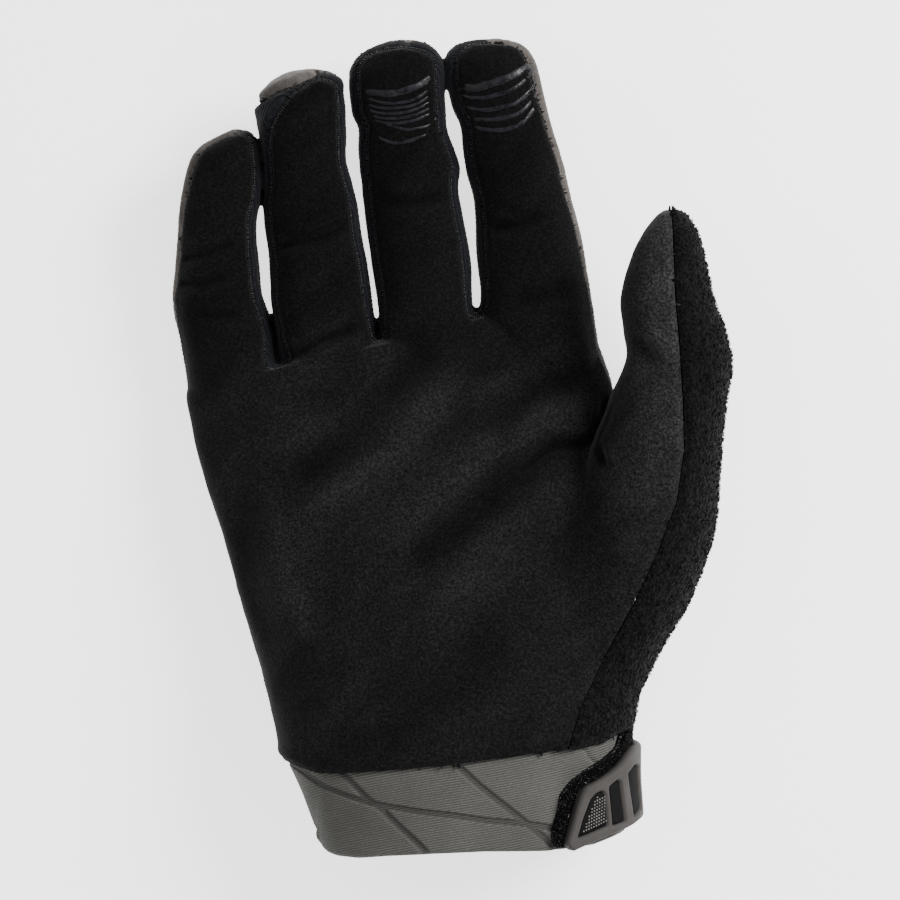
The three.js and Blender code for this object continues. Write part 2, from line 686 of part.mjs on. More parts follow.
const wholeCuff = cuffTube(0, 0, tuckedEnd).subtract(cuffTube(-cuffWall, -pastEnds, tuckedEnd + pastEnds));
const grooveLayer = wristLayer(-grooveDepth, grooveDepth);
const cuff = wholeCuff.subtract(grooveLayer.intersect(joined(grooves.map(grooveCutter))));

const hookInside = layerGap;
const tabInside = hookInside + hookThickness + layerGap;
const strapEnd = wristCentreHeight - 2; // where the strap meets the hook tape, on the thumb's side
const tabReach = 8; // the tab's length over the strap
const strapTop = strapWidth * 0.02;

const hookPatch = wristLayer(hookInside, hookInside + hookThickness)
  .intersect(prism(onWrist(hookOutline), strapEnd + layerGap, beyond))
  .subtract(hemKeepOut);

const strapRegion = [
  [-0.3 * wristWidth, -strapWidth],
  [beyond, -strapWidth],
  [beyond, strapTop],
  [-0.3 * wristWidth, strapTop],
];
const strap = wristLayer(hookInside, hookInside + strapThickness)
  .intersect(prism(strapRegion, -beyond, strapEnd))
  .subtract(hemKeepOut);

const tabLayer = wristLayer(tabInside, tabInside + tabThickness);
const tabBlank = tabLayer
  .intersect(prism(onWrist(tabOutline), strapEnd - tabReach, beyond))
  .subtract(hemKeepOut);
const pullTab = tabWindows.reduce(
  (tab, { outline }) => tab.subtract(prism(onWrist(outline), strapEnd, beyond)),
  tabBlank,
);

// A window's insert, a little thinner than the tab and clear of its frame
function windowInsert({ outline }) {
  const points = onWrist(outline).map(([x, y]) => new THREE.Vector2(x, y));
  const middle = points.reduce((sum, point) => sum.add(point), new THREE.Vector2()).divideScalar(points.length);
  const inner = points.map((point) => {
    const inward = middle.clone().sub(point);
    return point.clone().addScaledVector(inward.normalize(), 1.6 * layerGap);
  });
  return wristLayer(tabInside, tabInside + tabThickness * 0.7).intersect(
    prism(inner.map(({ x, y }) => [x, y]), strapEnd + layerGap, beyond),
  );
}

// A raised line across a finger's pad
function gripLine(finger, { along, reach, sag, thick, rise }) {
  const steps = 3;
  const section = fingerSection(finger, along);
  const edge = (offset) =>
    Array.from({ length: steps + 1 }, (_, i) => {
      const share = (2 * i) / steps - 1;
      const x = share * reach * finger.width;
      const hang = sag * finger.width * (share * share - 0.5);
      return [section.centre.x + x, section.centre.y + hang + rise * x + offset];
    });
  const half = (thick * finger.width) / 2;
  const outline = [...edge(-half), ...edge(half).reverse()];
  const tube = fingerTube(finger);
  const layer = solidOf(loft(grown(tube, layerGap + gripHeight))).subtract(solidOf(loft(grown(tube, layerGap))));
  return layer.intersect(prism(outline, section.centre.z, beyond));
}

// The glove
const glove = new THREE.Group();

// The largest body of a cut solid, without the slivers that a cut can leave
function mainBody(solid) {
  return solid.decompose().reduce((largest, body) => (body.volume() > largest.volume() ? body : largest));
}

function addPiece(name, solid, material) {
  const { vertProperties, triVerts } = mainBody(solid).getMesh();
  const geometry = new THREE.BufferGeometry();
  geometry.setAttribute("position", new THREE.BufferAttribute(vertProperties, 3));
  geometry.setIndex(new THREE.BufferAttribute(triVerts, 1));
  geometry.computeVertexNormals();
  const mesh = new THREE.Mesh(geometry, material);
  mesh.name = name;
  glove.add(mesh);
}

addPiece("palm_panel", palmPanel, blackSuede);
addPiece("back_panel", backPanel, greyStretch);
addPiece("thumb_terry_panel", terryPanel, blackTerry);
fingers.slice(1).forEach((finger, k) => {
  addPiece(`${fingers[k].name}_${finger.name}_gusset`, skin.intersect(gussetRegion(k)), ribbedGusset);
});
addPiece("cuff", cuff, greyKnit);
addPiece("strap", strap, greyKnit);
addPiece("hook_patch", hookPatch, hookTape);
addPiece("pull_tab", pullTab, mouldedGrey);
tabWindows.forEach((window) => addPiece(window.name, windowInsert(window), mouldedBlack));
for (const finger of fingers.filter(({ name }) => gripLines[name])) {
  gripLines[finger.name].forEach((line, i) => {
    addPiece(`${finger.name}_grip_${i + 1}`, gripLine(finger, line), gripPrint);
  });
}

// The origin is the centre of the glove's box, at its lowest point.
const box = new THREE.Box3().setFromObject(glove);
const middle = box.getCenter(new THREE.Vector3());
glove.position.set(-middle.x, -middle.y, -box.min.z);

export default glove;
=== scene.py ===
# Looks for the cycling glove: panels, seams, terry, cuff, strap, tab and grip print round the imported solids
import math

import bpy
import numpy as np
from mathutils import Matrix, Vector, kdtree, noise
from mathutils.bvhtree import BVHTree


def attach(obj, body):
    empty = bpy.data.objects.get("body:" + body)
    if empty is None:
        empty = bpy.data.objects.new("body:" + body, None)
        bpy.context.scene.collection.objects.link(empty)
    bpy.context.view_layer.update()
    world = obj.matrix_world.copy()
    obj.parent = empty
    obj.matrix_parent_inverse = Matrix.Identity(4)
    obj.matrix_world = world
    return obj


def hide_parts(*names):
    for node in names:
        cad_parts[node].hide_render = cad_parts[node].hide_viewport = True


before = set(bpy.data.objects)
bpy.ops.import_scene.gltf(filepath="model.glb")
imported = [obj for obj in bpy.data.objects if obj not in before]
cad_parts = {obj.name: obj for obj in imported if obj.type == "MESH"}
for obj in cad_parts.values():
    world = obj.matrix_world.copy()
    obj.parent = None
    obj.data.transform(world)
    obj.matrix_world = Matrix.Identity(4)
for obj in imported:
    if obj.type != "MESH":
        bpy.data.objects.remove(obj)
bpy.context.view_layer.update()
millimetre = 0.001
print("frame loaded")

hemCentre = (0.0016, -0.0786)  # where the tables' zero, the middle of the palm's hem, lies in the frame
# the camera, and the height at which the photo's scale holds
eye = {"aim": (0.0003, -0.0008), "distance": 0.9, "sharpHeight": 0.02, "frameWidth": 0.236}
studio = {
    "world": 0.5,
    "floorGlow": 1.8,
    "floorHalf": 3,
    "lamps": [  # name, place, size and power
        ("key", (0.65, 0.4, 0.6), 0.45, 19.0),
        ("fill", (-0.6, 0.2, 0.8), 0.8, 3.0),
        ("edge", (0.1, -0.8, 0.5), 0.5, 3.5),
    ],
}

hand = {
    "palmWidth": 0.112,  # across the knuckles
    "palmLength": 0.108,  # hem to the crotch between the middle fingers
    "palmDepth": 0.036,
    "wall": 0.0013,
    "seamGap": 0.0003,
    "restPress": 0.001,  # how far the back is pressed flat where it rests
    "fineness": 0.00055,  # voxel size of the sewn form
    "webSmoothing": 8,
    "slack": 0.0004,  # taken off each finger's half width, for the cloth's own lumps
    "lowest": 0.00005,
    "gussetRib": 0.00062,
}
wrist = {
    "width": 0.0885,
    "depth": 0.039,
    "fit": 0.0005,
    "hemTilt": 3.3,
    "squareness": (2.4, 2.8),
    "hemReach": 0.009,  # how far the form runs on past the hem before it is cut
    "frontRun": 0.01,  # over this height above its middle the hem turns to the front's line
}
wristHeight = wrist["depth"] / 2 + wrist["fit"] + hand["wall"]

# along, across, width and depth in shares, and tilt in degrees
palmRows = [
    (0.078, 0.002, 0.85, 1.25, 3.3),
    (0.2, -0.008, 0.89, 1.13, 2.0),
    (0.386, -0.036, 0.945, 1.02, 0.5),
    (0.507, -0.06, 0.97, 0.98, 0.0),
    (0.629, -0.086, 0.99, 0.93, 0.5),
    (0.743, -0.109, 1.003, 0.86, 1.5),
    (0.847, -0.128, 1.005, 0.77, 2.7),
    (0.92, -0.147, 0.975, 0.69, 6.3),
    (0.972, -0.163, 0.925, 0.61, 11.5),
    (0.996, -0.166, 0.84, 0.47, 14.6),
]
palmEnd = (1.002, -0.166)

# each finger's rows are along, across, width and depth in shares of its own sizes
fingers = {
    "pinky": {
        "root": (-0.527, 0.922), "length": 0.0621, "width": 0.0241, "depth": 0.0205, "curl": 0.012,
        "rows": [
            (-0.3, 0.1, 0.98, 0.98), (-0.139, 0.054, 1.05, 1.04), (0.0, 0.005, 1.07, 1.06),
            (0.114, -0.049, 1.07, 1.05), (0.215, -0.109, 1.06, 1.02), (0.316, -0.163, 1.0, 0.99),
            (0.443, -0.158, 0.935, 0.97), (0.612, -0.147, 0.865, 0.94), (0.705, -0.109, 0.89, 0.92),
            (0.806, -0.076, 0.86, 0.88), (0.873, -0.054, 0.79, 0.82), (0.924, -0.011, 0.67, 0.7),
            (0.966, 0.076, 0.45, 0.52), (0.99, 0.109, 0.22, 0.28),
        ],
        "tip": 0.115,
    },
    "ring": {
        "root": (-0.302, 0.976), "length": 0.0716, "width": 0.026, "depth": 0.0215, "curl": 0.014,
        "rows": [
            (-0.3, 0.08, 1.0, 1.0), (-0.147, 0.05, 1.02, 1.05), (0.0, 0.015, 1.04, 1.06),
            (0.15, -0.05, 1.05, 1.04), (0.326, -0.101, 1.01, 0.99), (0.414, -0.141, 0.99, 0.97),
            (0.502, -0.162, 0.985, 0.97), (0.59, -0.182, 0.91, 0.94), (0.678, -0.217, 0.86, 0.92),
            (0.766, -0.232, 0.89, 0.9), (0.846, -0.258, 0.94, 0.87), (0.905, -0.247, 0.88, 0.8),
            (0.949, -0.202, 0.79, 0.67), (0.98, -0.172, 0.59, 0.48), (0.995, -0.19, 0.32, 0.26),
        ],
        "tip": -0.2,
    },
    "middle": {
        "root": (-0.067, 1.024), "length": 0.0747, "width": 0.026, "depth": 0.0215, "curl": 0.011,
        "rows": [
            (-0.3, 0.02, 0.98, 1.0), (-0.14, 0.01, 0.98, 1.05), (0.0, 0.0, 0.98, 1.06),
            (0.123, -0.025, 1.0, 1.05), (0.242, -0.061, 1.03, 1.02), (0.411, -0.141, 1.01, 0.98),
            (0.495, -0.167, 1.01, 0.97), (0.551, -0.167, 1.05, 0.96), (0.621, -0.207, 1.0, 0.94),
            (0.695, -0.247, 0.92, 0.92), (0.747, -0.283, 0.97, 0.91), (0.881, -0.3, 0.985, 0.84),
            (0.925, -0.283, 0.91, 0.75), (0.96, -0.253, 0.74, 0.6), (0.986, -0.205, 0.47, 0.38),
            (0.997, -0.18, 0.22, 0.18),
        ],
        "tip": -0.17,
    },
    "index": {
        "root": (0.197, 1.046), "length": 0.0728, "width": 0.0286, "depth": 0.022, "curl": 0.009,
        "rows": [
            (-0.31, 0.112, 0.97, 1.0), (-0.16, 0.065, 1.04, 1.05), (0.0, -0.014, 1.08, 1.06),
            (0.095, -0.028, 1.037, 1.04), (0.237, -0.072, 1.015, 1.0), (0.35, -0.107, 0.963, 0.97),
            (0.438, -0.15, 0.92, 0.95), (0.526, -0.21, 0.94, 0.94), (0.613, -0.257, 0.905, 0.92),
            (0.69, -0.299, 0.865, 0.9), (0.759, -0.36, 0.895, 0.89), (0.839, -0.411, 0.897, 0.86),
            (0.898, -0.439, 0.88, 0.8), (0.945, -0.455, 0.79, 0.66), (0.978, -0.455, 0.61, 0.46),
            (0.994, -0.449, 0.36, 0.24),
        ],
        "tip": -0.445,
    },
}
curlShape = 1.8

# along, across, width, depth and height in shares, and tilt in degrees
thumb = {
    "root": (0.489, 0.745), "length": 0.0603, "width": 0.0267, "depth": 0.025,
    "rows": [
        (-1.087, -0.735, 0.9, 0.95, 0.5, -30), (-0.826, -0.66, 1.3, 1.25, 0.52, -27),
        (-0.565, -0.42, 1.47, 1.5, 0.56, -22), (-0.326, -0.21, 1.43, 1.5, 0.61, -16),
        (-0.065, -0.085, 1.27, 1.36, 0.67, -10), (0.174, 0.03, 1.12, 1.18, 0.75, -6),
        (0.348, 0.13, 1.02, 1.08, 0.81, -4), (0.478, 0.07, 0.98, 1.03, 0.86, 0),
        (0.64, -0.005, 0.88, 0.94, 0.91, 0), (0.79, 0.005, 0.71, 0.79, 0.95, 0),
        (0.89, 0.03, 0.53, 0.61, 0.97, 0), (0.96, 0.045, 0.31, 0.36, 0.98, 0),
    ],
    "end": (1.0, 0.04, 0.98),
}

# where the thumb's mound is softened into the palm, in metres, and how much
mound = {
    "middle": (0.027, 0.044), "reach": (0.02, 0.036), "fade": 0.4, "foot": 0.012, "rise": 0.008, "levels": 8,
    "factor": 0.6, "smoothing": 320,
}

# where the panels meet: along, the little finger's side and the thumb's side, as shares of palmDepth up
sideSeams = [
    (-0.1, 0.42, 0.4), (0.1, 0.32, 0.4), (0.5, 0.26, 0.38), (0.9, 0.22, 0.36), (1.05, 0.36, 0.36),
    (1.2, 0.48, 0.41), (1.35, 0.6, 0.49), (1.5, 0.7, 0.57), (1.72, 0.75, 0.7),
]
# how high the terry's edge starts its way from the back to the front, and over what height, in palmDepths
terryRise = (0.3, 0.6)
# the terry's edges: along, then across the front and across the back, as shares of palmWidth
terryEdges = [
    (-0.06, 0.24, 0.33), (0.102, 0.286, 0.356), (0.235, 0.351, 0.396), (0.347, 0.407, 0.431),
    (0.478, 0.466, 0.466), (0.6, 0.51, 0.487), (0.721, 0.527, 0.487), (0.842, 0.522, 0.466),
    (0.964, 0.513, 0.442), (1.085, 0.503, 0.426), (1.207, 0.499, 0.431), (1.4, 0.494, 0.445),
]
seams = {
    "frontBand": 0.0058,  # a gusset's front seam above the finger's middle
    "backBand": 0.0042,
    "webRise": (0.0022, -0.0004, -0.001),  # how far each gusset rises over its crotch
    "webReach": 0.005,
    "crotches": (0.1005, 0.1085, 0.1135),
    "tipStart": 0.5,  # from this share of a finger's length its seams follow the outline
    "tipBack": 0.45,  # at the tip, the back seam as a share of half the finger's depth
    "tipFront": 0.1,  # and the front seam
    "tipRun": 0.12,  # over this share of the length they turn to it
    "tipFade": 0.02,
    "tipMargin": 0.0015,
    "apartRun": 0.014,  # over this length two fingers' seams part
    "far": 0.2,  # more than any way across the glove
}
# how much of a gusset or of the back shows inside a fingertip's outline, in millimetres: along, on the
# little finger's side and on the thumb's side, and past the tip
tipBands = {
    "pinky": {"rows": [(0.5, 0.7, 1.8), (0.7, 1.2, 1.5), (0.84, 2.1, 1.4), (1.0, 1.3, 1.1)], "top": 0.8},
    "ring": {
        "rows": [
            (0.5, 1.9, 1.8), (0.68, 2.0, 1.6), (0.732, 2.3, 1.6), (0.79, 3.8, 1.6), (0.828, 6.2, 1.5),
            (0.869, 8.05, 1.4), (0.908, 9.3, 1.3), (0.937, 11.0, 1.3), (1.0, 12.0, 1.2),
        ],
        "top": 2.0,
    },
    "middle": {"rows": [(0.5, 1.9, 1.9), (0.7, 2.3, 1.8), (1.0, 2.2, 2.0)], "top": 2.0},
    "index": {"rows": [(0.5, 1.9, 1.2), (0.75, 1.8, 1.8), (0.9, 2.9, 2.2), (1.0, 3.4, 1.8)], "top": 1.0},
}
# the back's cloth wraps over the ring finger's tip above this line, as seen, in millimetres across and up
ringWrap = [
    (-54.0, 167.5), (-50.4, 170.1), (-47.2, 172.1), (-43.0, 173.4), (-40.7, 174.2), (-39.1, 175.5),
    (-36.2, 176.6),
]
# webs after a finger, in millimetres: start and end, half their width, foot, and height at the start and
# the end; the last stands where two fingertips touch
webs = [
    (0, 96.0, 114.4, 2.6, 4.0, 15.5, 9.5), (1, 96.0, 112.7, 3.0, 4.0, 15.5, 11.0),
    (2, 96.0, 115.6, 3.2, 4.0, 15.5, 12.0), (0, 143.0, 160.0, 1.3, 10.5, 14.0, 14.5),
]

# lumps of loose cloth: how high, in millimetres, how large, in metres, and a seed
clothLumps = [(0.28, 0.014, 1), (0.16, 0.0055, 2)]
# how creases stray and fade out towards their ends
creaseLook = {"stray": 0.9, "strayEvery": 0.011, "shortestFade": 4.0, "fade": 2.6, "lipAt": 2.0}
# creases in millimetres: how wide and how deep they press, their lip, and their path from the hem's middle
creases = [
    (1.5, 1.5, 0.5, [(-44.9, 101.9), (-39.2, 104.2), (-35.0, 106.3), (-25.1, 111.0)]),
    (4.0, 1.55, 0.73, [(38.3, 98.1), (30.5, 96.8), (20.2, 91.3), (11.9, 86.2), (3.6, 81.0)]),
    (1.6, 1.3, 0.5, [(36.9, 80.2), (30.7, 79.9), (25.3, 78.4), (20.4, 75.0), (16.0, 71.4)]),
    (5.0, 1.65, 0.97, [(36.5, 80.2), (25.2, 78.4), (10.8, 67.1), (-6.7, 50.6), (-16.5, 42.3)]),
    (1.4, 1.6, 0.4, [(40.6, 92.4), (38.8, 85.6), (36.9, 80.5), (37.7, 77.1), (39.2, 71.7)]),
    (5.0, 1.14, 0.48, [(-21.3, 103.3), (-27.5, 96.0), (-32.7, 91.9), (-45.1, 87.7)]),
    (5.0, 1.55, 0.73, [(-2.6, 110.5), (-11.9, 99.1), (-23.3, 85.6), (-33.6, 76.3), (-48.1, 66.0)]),
    (5.0, 0.62, 0.38, [(5.6, 40.3), (6.7, 16.1)]),
    (4.0, 0.83, 0.73, [(-57.1, 69.1), (-54.5, 42.1), (-45.1, 21.3)]),
    (1.3, 0.86, 0.45, [(-74.4, 127.4), (-65.8, 129.0), (-57.2, 132.1)]),
    (1.2, 0.77, 0.39, [(-74.9, 121.1), (-65.8, 121.1), (-58.2, 124.0)]),
    (1.3, 0.96, 0.26, [(-68.7, 113.3), (-54.5, 113.5)]),
    (1.3, 1.44, 0.45, [(-48.6, 130.4), (-37.7, 132.6), (-27.0, 137.0)]),
    (1.0, 0.96, 0.39, [(-46.5, 133.2), (-37.7, 134.9), (-28.8, 138.9)]),
    (1.7, 1.12, 0.33, [(-21.5, 141.4), (-12.0, 142.5), (-2.1, 145.6)]),
    (1.7, 1.12, 0.39, [(7.3, 135.2), (14.1, 136.2), (23.4, 140.3)]),
    (1.4, 0.8, 0.39, [(11.0, 139.6), (18.3, 142.0)]),
    (2.6, 0.96, 0.26, [(11.5, 114.9), (21.9, 117.8), (32.4, 122.8)]),
    (2.4, 1.28, 0.39, [(43.8, 109.1), (49.2, 104.5), (52.8, 97.4)]),
]

# how much further the hem reaches on the front, in millimetres across and down
hemDrops = [
    (-46.5, 0.0), (-42.4, 1.4), (-35.7, 3.4), (-30.0, 3.6), (-13.0, 3.2), (-0.5, 2.7), (12.3, 1.7),
    (25.0, 0.9), (33.0, 0.9), (38.6, 0.2), (44.0, -2.2),
]


def place(points):
    # from the hem's coordinates to the frame's
    return np.asarray(points) + (*hemCentre, 0)


def newObject(name, data):
    made = bpy.data.objects.new(name, data)
    bpy.context.scene.collection.objects.link(made)
    return made


def newPiece(name, points, faces=(), material=None):
    mesh = bpy.data.meshes.new(name)
    faces = faces.tolist() if isinstance(faces, np.ndarray) else list(faces)
    mesh.from_pydata(np.asarray(points, float).tolist(), [], faces)
    mesh.update()
    if material is not None:
        mesh.materials.append(material)
    return newObject(name, mesh)


def addFloats(piece, name, values):
    attribute = piece.data.attributes.new(name, "FLOAT", "POINT")
    attribute.data.foreach_set("value", np.asarray(values, np.float32))


def settle(piece):
    # gives an object the plain mesh that its modifiers make
    mesh = bpy.data.meshes.new_from_object(piece.evaluated_get(bpy.context.evaluated_depsgraph_get()))
    old, piece.data = piece.data, mesh
    piece.modifiers.clear()
    bpy.data.meshes.remove(old)
    mesh.name = piece.name


def finishPiece(piece, nodes):
    settle(piece)
    piece.data.shade_smooth()
    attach(piece, "root")
    if nodes:
        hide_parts(*nodes)
    piece.data.calc_loop_triangles()
    print(f"{piece.name}: {len(piece.data.loop_triangles)} triangles")


def atRow(rows, at, column=1):
    # a table's column read between its rows
    table = np.asarray(rows)
    return np.interp(at, table[:, 0], table[:, column])


def unit(vectors):
    return vectors / np.maximum(np.linalg.norm(vectors, axis=1, keepdims=True), 1e-12)


def wayAlong(path):
    # how far along a path each of its points is
    return np.concatenate([[0], np.cumsum(np.linalg.norm(np.diff(path, axis=0), axis=1))])


def smoothRows(rows, steps):
    # the table's rows joined by curves that don't overshoot them
    table = np.array(rows, float)
    along = table[:, 0]
    gaps = np.diff(along)[:, None]
    slopes = np.diff(table, axis=0) / gaps
    tangents = np.zeros_like(table)
    tangents[0], tangents[-1] = slopes[0], slopes[-1]
    same = slopes[1:] * slopes[:-1] > 0
    with np.errstate(divide="ignore", invalid="ignore"):
        mean = 2 / (1 / slopes[1:] + 1 / slopes[:-1])
    tangents[1:-1] = np.where(same, mean, 0)
    out = []
    for i in range(len(table) - 1):
        for t in np.linspace(0, 1, steps, endpoint=False):
            ramp = (2 * t**3 - 3 * t**2 + 1, t**3 - 2 * t**2 + t, -2 * t**3 + 3 * t**2, t**3 - t**2)
            row = ramp[0] * table[i] + ramp[1] * gaps[i] * tangents[i]
            out.append(row + ramp[2] * table[i + 1] + ramp[3] * gaps[i] * tangents[i + 1])
    out.append(table[-1])
    return np.array(out)


def spread(value, power):
    return np.sign(value) * np.abs(value) ** power


def ring(centre, halfWidth, halfDepth, squareness, sides, pitch=0.0, tilt=0.0):
    angle = np.linspace(0, 2 * math.pi, sides, endpoint=False)
    power = 2 / np.where(np.sin(angle) > 0, squareness[0], squareness[1])
    x = halfWidth * spread(np.cos(angle), power)
    z = halfDepth * spread(np.sin(angle), power)
    y, z = -z * math.sin(pitch), z * math.cos(pitch)
    x, y = x * math.cos(tilt) - y * math.sin(tilt), x * math.sin(tilt) + y * math.cos(tilt)
    return np.stack([x + centre[0], y + centre[1], z + centre[2]], axis=-1)


def tubeFaces(rings, sides, flip=False, around=False):
    # four-sided faces between rings of points
    faces = []
    for j in range(rings if around else rings - 1):
        step = sides if j < rings - 1 else -j * sides
        for i in range(sides):
            a, b = j * sides + i, j * sides + (i + 1) % sides
            faces.append((a, b, b + step, a + step) if flip else (a, a + step, b + step, b))
    return faces


def cappedTube(rings, sides, flip=False):
    # the same with a flat face at each end
    first, last = tuple(range(sides)), tuple(range((rings - 1) * sides, rings * sides))
    return tubeFaces(rings, sides, flip) + ([first[::-1], last] if flip else [first, last[::-1]])


def joined(parts):
    # several meshes' points and faces as one
    points, faces = [], []
    for partPoints, partFaces in parts:
        faces += [tuple(len(points) + i for i in face) for face in partFaces]
        points += partPoints.tolist()
    return np.array(points), faces


def closedTube(rings, tip=None):
    # rings of points with a point at each end
    sides = len(rings[0])
    points = np.concatenate(rings)
    start, end = rings[0].mean(axis=0), rings[-1].mean(axis=0) if tip is None else np.array(tip)
    first, last = len(points), len(points) + 1
    points = np.vstack([points, start, end])
    faces = tubeFaces(len(rings), sides)
    top = (len(rings) - 1) * sides
    for i in range(sides):
        j = (i + 1) % sides
        faces.append((first, i, j))
        faces.append((last, top + j, top + i))
    return points, faces


def palmForm():
    sides = 120
    width, depth = wrist["width"] / 2 + wrist["fit"] + hand["wall"], wristHeight
    tilt = math.radians(wrist["hemTilt"])
    rings = []
    for y in (-wrist["hemReach"], 0.0):
        rings.append(ring((0, y, wristHeight), width, depth, wrist["squareness"], sides, tilt=tilt))
    for along, across, wide, deep, turn in smoothRows(palmRows, 6):
        half = deep * hand["palmDepth"] / 2
        centre = (across * hand["palmWidth"], along * hand["palmLength"], half - hand["restPress"])
        rings.append(
            ring(centre, wide * hand["palmWidth"] / 2, half, (2.2, 2.7), sides, tilt=math.radians(turn))
        )
    end = (palmEnd[1] * hand["palmWidth"], palmEnd[0] * hand["palmLength"], rings[-1][:, 2].mean())
    return closedTube(rings, end)


def fingerPlaces(finger, along, table):
    # where a finger's middle and sides are at shares of its length
    across, wide, deep = (atRow(table, along, column) for column in (1, 2, 3))
    rise = finger["curl"] * np.maximum(0, along) ** curlShape
    rootDepth = dict((row[0], row[3]) for row in finger["rows"])[0.0]
    return {
        "x": finger["root"][0] * hand["palmWidth"] + across * finger["width"],
        "y": finger["root"][1] * hand["palmLength"] + along * finger["length"],
        "z": rootDepth * finger["depth"] / 2 - hand["restPress"] + rise,
        "halfWidth": wide * finger["width"] / 2,
        "halfDepth": deep * finger["depth"] / 2,
        "along": along,
    }


def fingerForm(finger):
    sides = 72
    table = finger["table"]
    rings = []
    for along in table[:, 0]:
        at = fingerPlaces(finger, along, table)
        slope = finger["curl"] * curlShape * max(0, along) ** (curlShape - 1) / finger["length"]
        centre = (at["x"], at["y"], at["z"])
        halfWidth = at["halfWidth"] - hand["slack"]
        rings.append(ring(centre, halfWidth, at["halfDepth"], (2.3, 2.5), sides, math.atan(slope)))
    end = fingerPlaces(finger, 1.0, table)
    x = finger["root"][0] * hand["palmWidth"] + finger["tip"] * finger["width"]
    return closedTube(rings, (x, end["y"], end["z"]))


def thumbForm():
    sides = 72

    def at(along, across, height):
        return (
            thumb["root"][0] * hand["palmWidth"] + across * thumb["width"],
            thumb["root"][1] * hand["palmLength"] + along * thumb["length"],
            height * hand["palmDepth"],
        )

    rings = []
    for along, across, wide, deep, height, turn in smoothRows(thumb["rows"], 6):
        half = (wide * thumb["width"] / 2, deep * thumb["depth"] / 2)
        rings.append(ring(at(along, across, height), *half, (2.2, 2.3), sides, tilt=math.radians(turn)))
    return closedTube(rings, at(*thumb["end"]))


def gapMiddle(places, k):
    # the middle of the gap between a finger and the next
    here, beside = places[k], places[k + 1]
    return (here["x"] + here["halfWidth"] + beside["x"] - beside["halfWidth"]) / 2


def webForm(web):
    # a web that fills the gap between two fingers
    rings = []
    start, end, halfWidth, foot, startTop, endTop = (value * millimetre for value in web[1:])
    for share in (0, 0.2, 0.4, 0.6, 0.75, 0.88, 0.96, 1.0):
        y = start + share * (end - start)
        x = float(gapMiddle(fingersAt(np.array([y])), web[0])[0])
        half = (startTop + share * (endTop - startTop) - foot) / 2
        size = math.sqrt(max(0.06, 1 - share**6))
        rings.append(ring((x, y, foot + half), halfWidth * size, half * size, (2.2, 2.2), 32))
    return closedTube(rings)


def meshArrays(mesh):
    points = np.empty(len(mesh.vertices) * 3)
    mesh.vertices.foreach_get("co", points)
    mesh.calc_loop_triangles()
    triangles = np.empty(len(mesh.loop_triangles) * 3, dtype=np.int64)
    mesh.loop_triangles.foreach_get("vertices", triangles)
    return points.reshape(-1, 3), triangles.reshape(-1, 3)


def pointNormals(points, triangles):
    a, b, c = (points[triangles[:, k]] for k in range(3))
    face = np.cross(b - a, c - a)
    normals = np.zeros_like(points)
    for k in range(3):
        np.add.at(normals, triangles[:, k], face)
    return unit(normals)


def softNoise(points, size, seed):
    # smooth noise from -1 to 1 with lumps of that size
    shift = Vector((seed * 7.1, seed * 3.7, seed * 1.9))
    scale = 1 / size
    return np.array([noise.noise(Vector(p) * scale + shift) for p in points.tolist()])


def softenBy(form, factor, repeats, group=""):
    smooth = form.modifiers.new("soften", "SMOOTH")
    smooth.factor, smooth.iterations, smooth.vertex_group = factor, repeats, group
    settle(form)


def sewnForm():
    # palm, fingers and thumb grown into one skin
    for finger in fingers.values():
        finger["table"] = smoothRows(finger["rows"], 6)
    parts = [palmForm(), thumbForm(), *map(fingerForm, fingers.values()), *map(webForm, webs)]
    form = newPiece("sewnForm", *joined(parts))
    remesh = form.modifiers.new("skin", "REMESH")
    remesh.mode = "VOXEL"
    remesh.voxel_size = hand["fineness"]
    softenBy(form, 0.5, hand["webSmoothing"])
    points = meshArrays(form.data)[0]
    away = np.hypot(*((points[:, k] - mound["middle"][k]) / mound["reach"][k] for k in (0, 1)))
    lifted = np.clip((points[:, 2] - mound["foot"]) / mound["rise"], 0, 1)
    weights = np.clip((1 - away) / mound["fade"], 0, 1) * lifted
    group = form.vertex_groups.new(name="mound")
    for level in range(1, mound["levels"] + 1):
        chosen = np.flatnonzero(np.ceil(weights * mound["levels"]) == level)
        group.add(chosen.tolist(), level / mound["levels"], "REPLACE")
    softenBy(form, mound["factor"], mound["smoothing"], "mound")
    arrays = meshArrays(form.data)
    bpy.data.meshes.remove(form.data)
    return arrays


def fromSegment(points, a, b):
    # each point's distance from a straight piece of a path, and the share of the way along it
    run = b - a
    share = np.clip(((points - a) @ run) / max(run @ run, 1e-18), 0, 1)
    return np.linalg.norm(points - a - share[:, None] * run, axis=1), share


def pathPlace(points, path):
    # in plan, how far each point is from a path, and how far along the path it stands from the nearer end
    path, ways = np.array(path), wayAlong(path)
    nearest, fromEnd = np.full(len(points), 1e9), np.zeros(len(points))
    for k in range(len(path) - 1):
        distance, share = fromSegment(points, path[k], path[k + 1])
        at = ways[k] + share * (ways[k + 1] - ways[k])
        fromEnd = np.where(distance < nearest, np.minimum(at, ways[-1] - at), fromEnd)
        nearest = np.minimum(nearest, distance)
    return nearest, fromEnd


def bell(x, middle, wide, high=1.0):
    return high * np.exp(-(((x - middle) / wide) ** 2))


